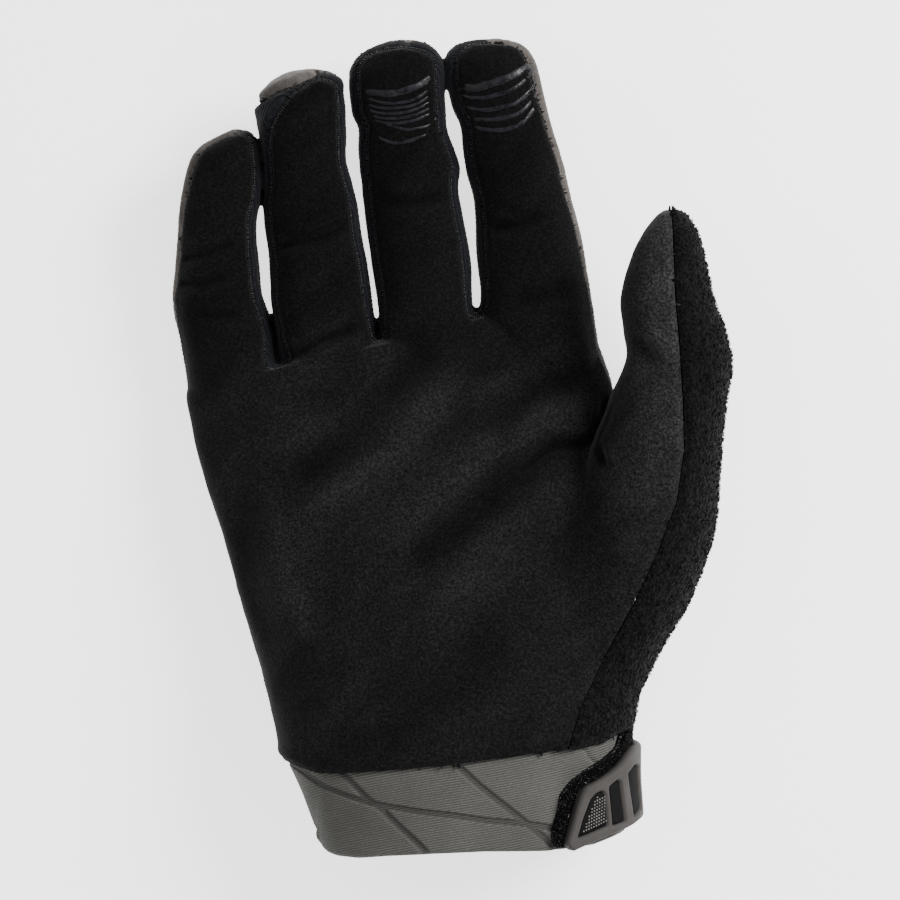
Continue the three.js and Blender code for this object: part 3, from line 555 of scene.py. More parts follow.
def creaseField(points):
    # how far the creases sink the cloth at each place, less than zero on their lips, in millimetres
    plan = asSeen(points) / millimetre
    stray = np.stack([softNoise(points, creaseLook["strayEvery"], seed) for seed in (3, 4)], axis=-1)
    plan = plan + creaseLook["stray"] * stray
    sunk = np.zeros(len(points))
    for wide, deep, lip, path in creases:
        distance, fromEnd = pathPlace(plan, path)
        fade = np.clip(fromEnd / max(creaseLook["shortestFade"], creaseLook["fade"] * wide), 0, 1)
        press = bell(distance, 0, wide, deep) - bell(distance, creaseLook["lipAt"] * wide, wide, lip)
        sunk += press * fade * fade * (3 - 2 * fade)
    return sunk


def pressCreases(points, normals):
    facing = np.clip((normals[:, 2] - 0.3) / 0.4, 0, 1)
    return points - normals * (creaseField(points) * facing * millimetre)[:, None]


def roughenCloth(points, normals):
    loose = sum(high * softNoise(points, size, seed) for high, size, seed in clothLumps)
    return points + normals * (loose * millimetre)[:, None]


def fingersAt(y):
    # every finger's middle and sides at places along the glove
    places = []
    for finger in fingers.values():
        along = (y - finger["root"][1] * hand["palmLength"]) / finger["length"]
        here = fingerPlaces(finger, np.clip(along, finger["table"][0, 0], 1), finger["table"])
        places.append(dict(here, along=along))
    return places


def seamHeights(x, y):
    # heights of the front and the back seam at places in plan, and the fingers' middles there
    little, large = (atRow(sideSeams, y / hand["palmLength"], side) * hand["palmDepth"] for side in (1, 2))
    at = fingersAt(y)
    toTip = [np.clip((here["along"] - seams["tipStart"]) / seams["tipRun"], 0, 1) for here in at]
    atTip = [seams["tipFront"] * here["halfDepth"] for here in at]
    little = little + toTip[0] * (at[0]["z"] + atTip[0] - little)
    large = large + toTip[3] * (at[3]["z"] + atTip[3] - large)

    def pair(k, z, lift=0.0):
        front = seams["frontBand"] + toTip[k] * (atTip[k] - seams["frontBand"])
        back = np.minimum(seams["backBand"], seams["tipBack"] * at[k]["halfDepth"])
        return z + front + lift, z - back

    far = np.full(len(x), seams["far"])
    columns = [(-far, little, little), (at[0]["x"] - hand["seamGap"], little, little)]
    for k, here in enumerate(at):
        edge = hand["seamGap"] if k == 3 else 0
        columns.append((here["x"] - edge, *pair(k, here["z"])))
        if k == 3:
            break
        beside = at[k + 1]
        middle = gapMiddle(at, k)
        shared = (here["z"] + beside["z"]) / 2
        web = bell(y, seams["crotches"][k], seams["webReach"], seams["webRise"][k])
        apart = np.clip((y - seams["crotches"][k]) / seams["apartRun"], 0, 1)
        columns.append((middle - 1e-6, *pair(k, shared + apart * (here["z"] - shared), web)))
        columns.append((middle + 1e-6, *pair(k + 1, shared + apart * (beside["z"] - shared), web)))
    columns += [(at[3]["x"] + hand["seamGap"], large, large), (far, large, large)]
    front, back = columns[0][1].copy(), columns[0][2].copy()
    for (xa, fa, ba), (xb, fb, bb) in zip(columns[:-1], columns[1:]):
        share = np.clip((x - xa) / np.maximum(xb - xa, 1e-7), 0, 1)
        inside = x >= xa
        front = np.where(inside, fa + share * (fb - fa), front)
        back = np.where(inside, ba + share * (bb - ba), back)
    return front, back, [here["x"] for here in at]


def tipInset(p):
    # how far inside its fingertip's seam a place lies in plan, and much where no fingertip is near
    inset = np.full(len(p), 0.05)
    places = fingersAt(p[:, 1])
    for k, (name, finger) in enumerate(fingers.items()):
        here, table, bands = places[k], finger["table"], tipBands[name]["rows"]
        ahead = here["along"] + tipBands[name]["top"] * millimetre / finger["length"]
        shares = np.interp(ahead, [*table[:, 0], 1.0, 1.05], [*table[:, 2], 0.0, -1.2])
        reach = shares * finger["width"] / 2
        left, right = (atRow(bands, here["along"], side) * millimetre for side in (1, 2))
        left = here["x"] - np.minimum(here["halfWidth"] - left, reach)
        right = here["x"] + np.minimum(here["halfWidth"] - right, reach)
        field = np.minimum(p[:, 0] - left, right - p[:, 0])
        field = field + np.clip((seams["tipStart"] - here["along"]) / seams["tipFade"], 0, 1) * 0.05
        low, high = (here["x"] + side * (here["halfWidth"] + seams["tipMargin"]) for side in (-1, 1))
        if k > 0:
            low = np.maximum(low, gapMiddle(places, k - 1))
        if k < len(places) - 1:
            high = np.minimum(high, gapMiddle(places, k))
        near = (here["along"] > seams["tipStart"] - seams["tipFade"]) & (p[:, 0] > low) & (p[:, 0] < high)
        inset = np.where(near, np.minimum(inset, field), inset)
    return inset


def frontField(p):
    return np.minimum(p[:, 2] - seamHeights(p[:, 0], p[:, 1])[0], tipInset(p))


def backField(p):
    back, middles = seamHeights(p[:, 0], p[:, 1])[1:]
    outer = (p[:, 0] < middles[0]) | (p[:, 0] > middles[3])
    field = np.where(outer, -frontField(p), back - p[:, 2])
    line, around = np.array(ringWrap) * millimetre, 0.002
    x, y = asSeen(p).T
    wrap = np.minimum(y - atRow(line, x), line[-1, 0] - x)
    near = (x > line[0, 0] - around) & (x < line[-1, 0] + around) & (y > line[0, 1] - around)
    return np.where(near, np.maximum(field, wrap), field)


def asSeen(p):
    # where the camera sees a place, in plan at the height where the photo's scale holds
    share = eye["distance"] / (eye["distance"] + eye["sharpHeight"] - p[:, 2])
    centre = np.array(eye["aim"]) - np.array(hemCentre)
    return centre + (p[:, :2] - centre) * share[:, None]


def terryField(p):
    front, back = (atRow(terryEdges, p[:, 1] / hand["palmLength"], side) for side in (1, 2))
    rise = np.clip((p[:, 2] / hand["palmDepth"] - terryRise[0]) / terryRise[1], 0, 1)
    return p[:, 0] - (back + rise * (front - back)) * hand["palmWidth"]


def hemLine(x):
    # the hem rises evenly towards the thumb's side
    return x * math.tan(math.radians(wrist["hemTilt"]))


def hemField(p):
    facing = np.clip((p[:, 2] - wristHeight) / wrist["frontRun"], 0, 1)
    return p[:, 1] - hemLine(p[:, 0]) + atRow(np.array(hemDrops) * millimetre, p[:, 0]) * facing


def keepUsed(points, triangles):
    used, triangles = np.unique(triangles, return_inverse=True)
    return points[used], triangles.reshape(-1, 3)


def clip(points, triangles, field):
    # keeps the part of a mesh where the field is above zero
    values = field(points)
    inside = values > 0
    count = inside[triangles].sum(axis=1)
    cut = triangles[(count == 1) | (count == 2)]
    one = inside[cut].sum(axis=1) == 1
    two = ~one
    first = np.argmax(inside[cut] == one[:, None], axis=1)
    a, b, c = (cut[np.arange(len(cut)), (first + k) % 3] for k in range(3))
    pairs = np.sort(np.concatenate([np.stack([a, b], 1), np.stack([a, c], 1)]), axis=1)
    edges, where = np.unique(pairs, axis=0, return_inverse=True)
    ab, ac = np.split(where.reshape(-1) + len(points), 2)
    low, high = values[edges].T
    share = (low / (low - high))[:, None]
    added = points[edges[:, 0]] * (1 - share) + points[edges[:, 1]] * share
    corners = [(a[one], ab[one], ac[one]), (ab[two], b[two], c[two]), (ab[two], c[two], ac[two])]
    triangles = np.concatenate([triangles[count == 3], *(np.stack(corner, 1) for corner in corners)])
    return keepUsed(np.concatenate([points, added]), triangles)


def beyond(field, level, side=1):
    # a field that is above zero where the other is past the level, on its plus or its minus side
    return lambda p: side * field(p) - level


def largestPatch(points, triangles):
    # drops crumbs that the cuts leave
    parent = np.arange(len(points))
    while True:
        lowest = parent[triangles].min(axis=1)
        new = parent.copy()
        for k in range(3):
            np.minimum.at(new, triangles[:, k], lowest)
        new = new[new]
        if np.array_equal(new, parent):
            break
        parent = new
    labels, sizes = np.unique(parent[triangles[:, 0]], return_counts=True)
    keep = labels[sizes > 0.02 * sizes.sum()]
    return keepUsed(points, triangles[np.isin(parent[triangles[:, 0]], keep)])


def rimEdges(triangles):
    # the edges that only one triangle has
    edges = np.concatenate([triangles[:, [0, 1]], triangles[:, [1, 2]], triangles[:, [2, 0]]])
    first, counts = np.unique(np.sort(edges, axis=1), axis=0, return_index=True, return_counts=True)[1:]
    return edges[np.sort(first[counts == 1])].tolist()


def boundaryLoops(triangles):
    # the rims of an open mesh as lists of point numbers in order
    follow = dict(rimEdges(triangles))
    loops = []
    while follow:
        start, here = follow.popitem()
        loop = [start]
        while here in follow and here != start:
            loop.append(here)
            here = follow.pop(here)
        loops.append(loop)
    return [loop for loop in loops if len(loop) > 12]


seamPress = {  # in millimetres
    "deep": 0.85, "wide": 0.9, "puff": 0.22, "puffAt": 2.4, "puffWide": 1.3, "pucker": 0.10, "puckerAt": 1.6,
    "puckerWide": 1.2, "puckerEvery": 2.3, "reach": 5.0,
    # within terryNear of the terry's edge the press is shallower, the more so below twice terryPlain
    "terryNear": 3.0, "terryPlain": 40.0, "terryLeast": (0.15, 0.7),
}


def pressSeams(points, triangles, normals):
    # turns a panel's edges in, with a slight puff and puckers beside them
    look = seamPress
    loops = boundaryLoops(triangles)
    rim = np.concatenate([np.array(loop) for loop in loops])
    tree = kdtree.KDTree(len(rim))
    for i, p in enumerate(points[rim].tolist()):
        tree.insert(p, i)
    tree.balance()
    steps = np.concatenate([np.arange(len(loop)) for loop in loops]) * hand["fineness"] / millimetre
    # the terry's seam is shallow low down
    lowTerry = np.abs(terryField(points[rim])) / millimetre < look["terryNear"]
    shallow = np.clip(points[rim, 1] / millimetre / look["terryPlain"] - 1, *look["terryLeast"])
    plain = np.where(lowTerry, shallow, 1.0)
    found = np.array([tree.find(p)[1:] for p in points.tolist()])
    which, d = found[:, 0].astype(int), found[:, 1] / millimetre
    way = steps[which]
    wave = np.sin(2 * math.pi * way / look["puckerEvery"] + 3 * np.sin(way / 7))
    move = bell(d, look["puffAt"], look["puffWide"], look["puff"]) - bell(d, 0, look["wide"], look["deep"])
    move = move + wave * bell(d, look["puckerAt"], look["puckerWide"], look["pucker"])
    move = np.where(d > look["reach"], 0, move * plain[which])
    return points + normals * (move * millimetre)[:, None], loops


def panel(name, arrays, material, share, nodes):
    # one cloth panel from its cut surface: pressed seams, thickness and smooth shading
    points, triangles = largestPatch(*arrays)
    normals = pointNormals(points, triangles)
    points, loops = pressSeams(points, triangles, normals)
    seamLines = [(points[loop], normals[loop]) for loop in loops]
    points[:, 2] = np.maximum(points[:, 2], hand["lowest"])
    piece = newPiece(name, place(points), triangles, material)
    piece.modifiers.new("fewer", "DECIMATE").ratio = share
    thick = piece.modifiers.new("cloth", "SOLIDIFY")
    thick.thickness = hand["wall"]
    thick.offset = -1
    thick.use_even_offset = False
    finishPiece(piece, nodes)
    return piece, seamLines


def addNode(tree, kind, inputs=None, **settings):
    node = tree.nodes.new(kind)
    for key, value in settings.items():
        setattr(node, key, value)
    for key, value in (inputs or {}).items():
        if isinstance(value, bpy.types.NodeSocket):
            tree.links.new(value, node.inputs[key])
        else:
            node.inputs[key].default_value = value
    return node


def paint(value):
    # a colour as a shader takes it; a single number is a grey
    if isinstance(value, bpy.types.NodeSocket):
        return value
    return (*value, 1) if isinstance(value, tuple) else (value, value, value, 1)


class Recipe:
    # a node material with a few shortcuts for laying its nodes
    def __init__(self, name, roughness, specular, sheen=0.0, sheenRoughness=0.5):
        self.material = bpy.data.materials.new(name)
        self.material.use_nodes = True
        self.tree = self.material.node_tree
        self.inputs = self.tree.nodes["Principled BSDF"].inputs
        values = {
            "Roughness": roughness, "Specular IOR Level": specular,
            "Sheen Weight": sheen, "Sheen Roughness": sheenRoughness,
        }
        for key, value in values.items():
            self.inputs[key].default_value = value
        self.place = self.add("ShaderNodeTexCoord").outputs["Object"]

    def add(self, kind, inputs=None, **settings):
        return addNode(self.tree, kind, inputs, **settings)

    def noise(self, scale, detail=2.0, roughness=0.5, distortion=0.0, place=None):
        inputs = {"Scale": scale, "Detail": detail, "Roughness": roughness, "Distortion": distortion}
        return self.add("ShaderNodeTexNoise", {"Vector": place or self.place, **inputs}).outputs["Fac"]

    def turned(self, angle, scale, kind="POINT"):
        inputs = {"Vector": self.place, "Rotation": (0, 0, math.radians(angle)), "Scale": scale}
        return self.add("ShaderNodeMapping", inputs, vector_type=kind).outputs["Vector"]

    def math(self, operation, a, b=0.5):
        return self.add("ShaderNodeMath", {0: a, 1: b}, operation=operation).outputs[0]

    def read(self, name):
        return self.add("ShaderNodeAttribute", attribute_name=name).outputs["Fac"]

    def ribs(self, name):
        # one rib for every whole step of an attribute, from 0 to 1
        turn = self.math("MULTIPLY", self.read(name), 2 * math.pi)
        return self.math("MULTIPLY_ADD", self.math("SINE", turn, 0.0), 0.5)

    def between(self, value, low, high):
        ends = {"Value": value, "From Min": low, "From Max": high}
        return self.add("ShaderNodeMapRange", ends).outputs["Result"]

    def ramp(self, factor, *stops):
        node = self.add("ShaderNodeValToRGB", {"Fac": factor})
        elements = node.color_ramp.elements
        while len(elements) < len(stops):
            elements.new(0.5)
        for element, (position, color) in zip(elements, stops):
            element.position = position
            element.color = paint(color)
        return node.outputs["Color"]

    def mix(self, factor, a, b, blend="MIX"):
        inputs = {0: factor, 6: paint(a), 7: paint(b)}
        return self.add("ShaderNodeMix", inputs, data_type="RGBA", blend_type=blend).outputs[2]

    def times(self, color, *others):
        for other in others:
            color = self.mix(1.0, color, other, "MULTIPLY")
        return color

    def use(self, name, socket):
        self.tree.links.new(socket, self.inputs[name])

    def bump(self, height, strength, depth, previous=None):
        inputs = {"Height": height, "Strength": strength, "Distance": depth}
        if previous is not None:
            inputs["Normal"] = previous
        out = self.add("ShaderNodeBump", inputs).outputs["Normal"]
        self.use("Normal", out)
        return out


def suedeMaterial():
    look = Recipe("blackSuede", 0.95, 0.06, 0.06, 0.4)
    nap = look.noise(60, 3, 0.5, 0.6, look.turned(-46, (1, 2.6, 1), "TEXTURE"))
    grain = look.noise(1500, 3, 0.75)
    base = look.ramp(nap, (0.32, 0.0046), (0.5, 0.0070), (0.68, 0.0100))
    speck = look.ramp(grain, (0.34, 0.25), (0.5, 0.9), (0.70, 2.3))
    # painted light and shade: the suede is made lighter over the middle of the palm and darker towards the
    # fingers and the hem, lighter on the thumb's side, and darker in the creases with lighter lips
    across = look.add("ShaderNodeSeparateXYZ", {"Vector": look.place}).outputs
    up = look.between(across["Y"], -0.085, 0.055)
    paintedPalmLight = look.ramp(up, (0.0, 0.72), (0.28, 0.92), (0.5, 0.90), (0.68, 0.84), (0.80, 0.60), (0.95, 0.40))
    # painted light: on the thumb's side the suede is made lighter, the more so higher up the thumb; sides
    # takes this near the thumb and an even half elsewhere
    paintedThumbLight = look.ramp(up, (0.5, 0.8), (0.66, 1.1), (0.78, 2.4), (0.9, 3.2))
    sides = look.mix(look.between(across["X"], 0.040, 0.052), 0.5, paintedThumbLight)
    # painted shade in the creases, darker the deeper they sink, and painted light on their lips
    sunk = look.math("MULTIPLY_ADD", look.read("sunk"), 0.25)
    paintedCreaseShade = look.ramp(sunk, (0.32, 0.88), (0.48, 0.64), (0.85, 0.30))
    look.use("Base Color", look.times(base, speck, paintedPalmLight, look.times(sides, paintedCreaseShade), 3.0))
    first = look.bump(look.math("ADD", grain, look.noise(3900, 1)), 0.6, 0.00025)
    look.bump(look.noise(330, 3, 0.6), 0.35, 0.0005, first)
    return look.material


def stretchMaterial():
    look = Recipe("taupeStretch", 0.85, 0.2, 0.08)
    knit = look.noise(2300, 2, 0.6)
    lines = look.noise(900, 2, 0.6, 0.4, look.turned(0, (1.0, 0.12, 1.0)))
    base = look.ramp(look.noise(45, 3, 0.6), (0.35, (0.050, 0.044, 0.040)), (0.65, (0.072, 0.064, 0.058)))
    shade = look.ramp(knit, (0.32, 0.72), (0.66, 1.22))
    look.use("Base Color", look.times(base, shade, look.ramp(lines, (0.35, 0.82), (0.65, 1.12))))
    look.bump(look.math("ADD", knit, lines), 0.5, 0.0002)
    return look.material


def gussetMaterial():
    look = Recipe("ribbedGusset", 0.8, 0.1, 0.03)
    lines = look.ribs("ribPhase")
    base = look.ramp(lines, (0.0, (0.0022, 0.0024, 0.0032)), (1.0, (0.0060, 0.0064, 0.0090)))
    look.use("Base Color", look.times(base, look.ramp(look.noise(1400, 2), (0.3, 0.7), (0.7, 1.3))))
    look.bump(lines, 0.9, 0.00025)
    return look.material


def terryMaterial():
    look = Recipe("blackTerry", 1.0, 0.03, 0.03, 0.6)
    tufts = look.noise(900, 3, 0.7)
    cells = look.add("ShaderNodeTexVoronoi", {"Vector": look.place, "Scale": 1100.0}).outputs["Distance"]
    look.use("Base Color", look.ramp(tufts, (0.38, 0.0012), (0.66, 0.0066)))
    look.bump(tufts, 0.5, 0.0004, look.bump(cells, 0.8, 0.0006))
    return look.material


def twillMaterial():
    look = Recipe("greyTwill", 0.8, 0.2, 0.05)
    lines, grain = look.ribs("twillPhase"), look.noise(1800, 3, 0.6)
    base = look.ramp(look.noise(60, 2), (0.3, (0.067, 0.066, 0.060)), (0.7, (0.084, 0.083, 0.076)))
    shades = look.ramp(lines, (0.0, 0.66), (1.0, 1.16)), look.ramp(grain, (0.3, 0.84), (0.7, 1.12))
    color = look.times(base, *shades)
    # painted shade: the pressed bands are darkened towards a dark brown-grey
    groove = look.math("MULTIPLY", look.read("groove"), 0.45)
    look.use("Base Color", look.mix(groove, color, (0.018, 0.017, 0.015)))
    look.bump(grain, 0.3, 0.0002, look.bump(lines, 0.9, 0.00025))
    return look.material


def hookMaterial():
    look = Recipe("hookTape", 0.75, 0.1)
    fuzzAndGlints = look.noise(2600, 3, 0.7)
    # the tape's black fuzz, with its brightest spots painted as the hooks' glints
    look.use("Base Color", look.ramp(fuzzAndGlints, (0.46, 0.0006), (0.57, 0.003), (0.63, 0.02), (0.70, 0.42)))
    look.bump(fuzzAndGlints, 0.9, 0.0005)
    return look.material


def mouldedMaterial():
    look = Recipe("mouldedGrey", 0.6, 0.15)
    grain = look.noise(2600, 2)
    base = look.ramp(look.noise(150, 2), (0.3, (0.036, 0.033, 0.031)), (0.7, (0.048, 0.044, 0.042)))
    waves = {"Vector": look.turned(55, (1, 1, 1)), "Scale": 720.0, "Distortion": 0.3, "Detail": 1.0}
    ribs = look.add("ShaderNodeTexWave", waves).outputs["Fac"]
    look.use("Base Color", look.times(base, look.ramp(ribs, (0.0, 0.8), (1.0, 1.15))))
    look.bump(ribs, 0.4, 0.0001, look.bump(grain, 0.35, 0.00012))
    look.use("Roughness", look.ramp(grain, (0.3, 0.6), (0.7, 0.8)))
    return look.material


def windowMaterial():
    look = Recipe("windowBlack", 0.7, 0.03)
    grain = look.noise(2200, 2)
    look.use("Base Color", look.ramp(grain, (0.3, 0.004), (0.7, 0.008)))
    look.bump(grain, 0.3, 0.0001)
    return look.material


def dotMaterial():
    look = Recipe("windowDots", 0.5, 0.4)
    look.use("Base Color", look.ramp(look.noise(800), (0.3, (0.09, 0.085, 0.08)), (0.7, (0.16, 0.15, 0.14))))
    return look.material


def gripMaterial():
    look = Recipe("gripPrint", 0.3, 0.15)
    smear = look.noise(700, 3, 0.6)
    look.use("Base Color", look.ramp(smear, (0.3, (0.003, 0.003, 0.004)), (0.7, (0.009, 0.009, 0.012))))
    look.bump(smear, 0.5, 0.0003)
    look.use("Roughness", look.ramp(smear, (0.35, 0.14), (0.62, 0.6)))
    return look.material


def threadMaterial():
    look = Recipe("blackThread", 0.6, 0.3, 0.2)
    look.use("Base Color", look.ramp(look.noise(3000, 1), (0.3, 0.005), (0.7, 0.018)))
    return look.material


def floorMaterial():
    look = Recipe("paleFloor", 0.9, 0.1)
    look.use("Base Color", look.ramp(look.noise(4), (0.3, 0.90), (0.7, 0.92)))
    look.inputs["Emission Color"].default_value = paint(1.0)
    look.inputs["Emission Strength"].default_value = studio["floorGlow"]
    return look.material


suede, stretch, ribbed = suedeMaterial(), stretchMaterial(), gussetMaterial()
terry, twill, hooks = terryMaterial(), twillMaterial(), hookMaterial()
moulded, windowBlack, dots = mouldedMaterial(), windowMaterial(), dotMaterial()
gripPrint, thread = gripMaterial(), threadMaterial()
print("materials made")


# the sewn hand, grown as one skin and cut into panels
skinPoints, skinTriangles = sewnForm()
print("skin grown:", len(skinPoints), "points")
skinNormals = pointNormals(skinPoints, skinTriangles)
skinPoints = pressCreases(roughenCloth(skinPoints, skinNormals), skinNormals)
skinPoints[:, 2] = np.maximum(skinPoints[:, 2], hand["lowest"])
skinTree = BVHTree.FromPolygons(skinPoints.tolist(), skinTriangles.tolist())
gap = hand["seamGap"] / 2
hemmed = clip(skinPoints, skinTriangles, hemField)
notTerry = clip(*hemmed, beyond(terryField, gap, -1))


def markPoints(piece, name, field):
    # keeps a field's value at each of a finished piece's points, for its material
    points = np.array([v.co for v in piece.data.vertices]) - (*hemCentre, 0)
    addFloats(piece, name, field(points))


palmPiece, palmSeams = panel(
    "palmPanel", clip(*notTerry, beyond(frontField, gap)), suede, 0.42, ["palm_panel"]
)
# the creases' depth, which the suede's colour uses for painted shade in the creases
markPoints(palmPiece, "sunk", creaseField)
backCut = clip(*notTerry, beyond(backField, gap))
panel("backPanel", backCut, stretch, 0.3, ["back_panel"])
terryCut = clip(*hemmed, beyond(terryField, gap))
panel("thumbTerryPanel", terryCut, terry, 0.4, ["thumb_terry_panel"])


def ribField(p):
    # how many ribs a place on a gusset is from its back seam
    return (p[:, 2] - seamHeights(p[:, 0], p[:, 1])[1]) / hand["gussetRib"]


def gusset(k, name, node):
    def between(p):
        middles = seamHeights(p[:, 0], p[:, 1])[2]
        return np.minimum(p[:, 0] - middles[k], middles[k + 1] - p[:, 0])

    arrays = hemmed
    for field, side in ((frontField, -1), (backField, -1), (between, 1)):
        arrays = clip(*arrays, beyond(field, gap, side))
    markPoints(panel(name, arrays, ribbed, 0.6, [node])[0], "ribPhase", ribField)


gusset(0, "pinkyRingGusset", "pinky_ring_gusset")
gusset(1, "ringMiddleGusset", "ring_middle_gusset")
gusset(2, "middleIndexGusset", "middle_index_gusset")
print("panels cut")


cuffLook = {
    "length": 0.025,
    "tucked": 1.32,  # the share of its length that the cuff runs to, under the hem
    "wall": 0.002,
    "lean": 0.0055,
    "trim": 0.002,  # how much narrower the thumb's side gets towards the edge
    "sides": 440,
    "rows": 196,
    "ribHeight": 0.05,  # in millimetres
    "bandHalf": 0.85,  # the pressed bands, in millimetres
    "bandDeep": 0.55,
    "ribEvery": 0.62,
    "ribRise": (0.145, 0.00115),  # how the ribs climb towards the thumb's side, and how that grows
    "lumps": (0.22, 0.012, 5),  # how high, in millimetres, how large, in metres, and a seed
    "creaseDeep": 0.5,
    "backShare": 0.3,  # how much of the relief the back keeps
}
# share of the length from the edge, share of the wrist's width
cuffRows = smoothRows([(0, 0.93), (0.12, 0.945), (0.55, 0.965), (1, 1.0)], 8)
# the cuff's lower edge in millimetres, across and down
cuffEdge = [
    (-35.8, -22.3), (-35.3, -24.2), (-34.5, -25.7), (-33.0, -26.7), (-31.0, -27.2), (-25.4, -27.4),
    (-17.6, -26.6), (-4.8, -25.8), (8.0, -25.2), (25.0, -25.2), (38.0, -24.0), (46.7, -21.5),
]
pressedBands = [
    [(-43.0, -3.6), (-39.8, -5.2), (-33.6, -9.1), (-27.5, -11.4), (-22.3, -12.9), (-17.6, -13.7),
     (-9.9, -14.9), (-0.5, -15.9), (8.1, -17.2), (16.6, -17.9), (27.2, -19.5)],
    [(-31.0, -2.6), (-28.8, -5.4), (-26.2, -8.3), (-22.3, -12.1), (-18.4, -15.0), (-14.6, -18.8),
     (-10.3, -22.6), (-6.0, -26.8)],
    [(-2.4, -0.2), (0.8, -3.3), (5.9, -8.0), (12.3, -13.1), (18.3, -17.9), (23.5, -22.2), (27.0, -25.2)],
]
cuffCrease = [(31.5, 3.0), (34.0, 0.0), (34.8, -1.6), (36.6, -3.2)]


def arcTable():
    # angles round the wrist's section against the way along it from the middle of the front
    angle = np.linspace(math.pi / 2, -1.5 * math.pi, 20001)
    power = 2 / np.where(np.sin(angle) > 0, *wrist["squareness"])
    x = wrist["width"] / 2 * spread(np.cos(angle), power)
    z = wrist["depth"] / 2 * spread(np.sin(angle), power)
    way = np.concatenate([[0], np.cumsum(np.hypot(np.diff(x), np.diff(z)))])
    return way, angle


arcWay, arcAngle = arcTable()
roundWay = arcWay[-1]


def cuffLow(x):
    return atRow(np.array(cuffEdge) * millimetre, x)


def cuffShare(x, y):
    # how far up the cuff a place lies: 0 at its edge, 1 at the hem
    return 1 + (y - hemLine(x)) / (hemLine(x) - cuffLow(x))


def cuffSection(share, grow, onThumbSide):
    # half the cuff's width and how far it leans aside, at a share of its height
    below = np.maximum(0, 1 - share)
    wide = atRow(cuffRows, share) * wrist["width"] / 2 + grow - cuffLook["trim"] * below * onThumbSide
    return wide, cuffLook["lean"] * below


def wristPoint(way, y, grow):
    # places round the wrist: the way round it from the middle of the front, how far up, and how far out
    angle = np.interp(way % roundWay, arcWay, arcAngle)
    power = 2 / np.where(np.sin(angle) > 0, *wrist["squareness"])
    unitX, unitZ = spread(np.cos(angle), power), spread(np.sin(angle), power)
    share = 1 + y / cuffLook["length"]
    for _ in range(3):
        wide, lean = cuffSection(share, grow, unitX > 0)
        x = wide * unitX + lean
        share = cuffShare(x, y)
    return np.stack([x, y, (wrist["depth"] / 2 + grow) * unitZ + wristHeight], axis=-1)


def onWrist(ways, y, grow):
    # places round the wrist and the way out from each
    spots, lifted = (wristPoint(ways, y, np.full(len(ways), grow + lift)) for lift in (0, millimetre))
    return spots, (lifted - spots) / millimetre


def wayOf(x, y, grow):
    # the way round the wrist to a place on the front that is seen at x and y
    share = cuffShare(x, y)
    lean = cuffSection(share, grow, 0)[1]
    wide = cuffSection(share, grow, x > lean)[0]
    angle = np.arccos(spread(np.clip((x - lean) / wide, -1, 1), wrist["squareness"][0] / 2))
    return np.interp(-angle, -arcAngle, arcWay)


def twillPhase(way, y):
    # the cuff's ribs rise towards the thumb's side
    x = np.where(way > roundWay / 2, way - roundWay, way) / millimetre
    near, (rise, more) = np.clip(x, -60, 60), cuffLook["ribRise"]
    return (y / millimetre - rise * x - more * near * np.abs(near)) / cuffLook["ribEvery"]


def makeCuff():
    sides, wall = cuffLook["sides"], cuffLook["wall"]
    ways = np.linspace(0, roundWay, sides, endpoint=False)
    x = wristPoint(ways, np.zeros(sides), np.zeros(sides))[:, 0]
    low = cuffLow(0.93 * x + cuffLook["lean"])
    high = hemLine(x) + (cuffLook["tucked"] - 1) * cuffLook["length"]
    # each row's share of the height, its drop and its growth
    profile = [(1 - share, 0.0, 0.0) for share in np.linspace(0, 1, cuffLook["rows"])]
    for turn in np.linspace(0, math.pi, 8)[1:-1]:
        profile.append((0.0, -wall / 2 * math.sin(turn), -wall / 2 * (1 - math.cos(turn))))
    profile += [(share, 0.0, -wall) for share in np.linspace(0, 1, 20)]
    points, phases, masks = [], [], []
    for share, drop, grow in profile:
        y = low + share * (high - low) + drop + wall / 2
        phase, mask, out = twillPhase(ways, y), np.zeros(sides), np.full(sides, grow)
        if grow > -wall / 2:
            plan = wristPoint(ways, y, np.zeros(sides))
            flat = plan[:, :2] / millimetre
            facing = np.clip((plan[:, 2] - wristHeight) / 0.003, 0, 1)
            for path in pressedBands:
                d = pathPlace(flat, path)[0] / cuffLook["bandHalf"]
                mask = np.maximum(mask, np.clip((1.12 - d) / 0.3, 0, 1))
            crease = bell(pathPlace(flat, cuffCrease)[0], 0, 0.5, cuffLook["creaseDeep"])
            lump, size, seed = cuffLook["lumps"]
            wave = lump * softNoise(plan, size, seed) + cuffLook["ribHeight"] * np.sin(2 * math.pi * phase)
            rise = wave - cuffLook["bandDeep"] * mask - crease
            out = out + rise * millimetre * (facing + (1 - facing) * cuffLook["backShare"])
            mask = mask * facing
        points.append(wristPoint(ways, y, out))
        phases.append(phase)
        masks.append(mask)
    faces = tubeFaces(len(profile), sides, flip=True, around=True)
    piece = newPiece("ribbedCuff", place(np.concatenate(points)), faces, twill)
    addFloats(piece, "twillPhase", np.concatenate(phases))
    # the pressed bands, where the twill's colour gets painted shade
    addFloats(piece, "groove", np.concatenate(masks))
    finishPiece(piece, ["cuff"])


def rounded(outline, radius):
    # an outline in millimetres with its corners rounded, in metres
    path = np.array(outline, float) * millimetre
    out = []
    for i, corner in enumerate(path):
        before, after = path[i - 1] - corner, path[(i + 1) % len(path)] - corner
        back, forth = np.linalg.norm(before), np.linalg.norm(after)
        a = corner + before / back * min(radius * millimetre, 0.45 * back)
        b = corner + after / forth * min(radius * millimetre, 0.45 * forth)
        for t in (0, 0.25, 0.5, 0.75, 1):
            out.append((1 - t) ** 2 * a + 2 * t * (1 - t) * corner + t**2 * b)
    return np.array(out)


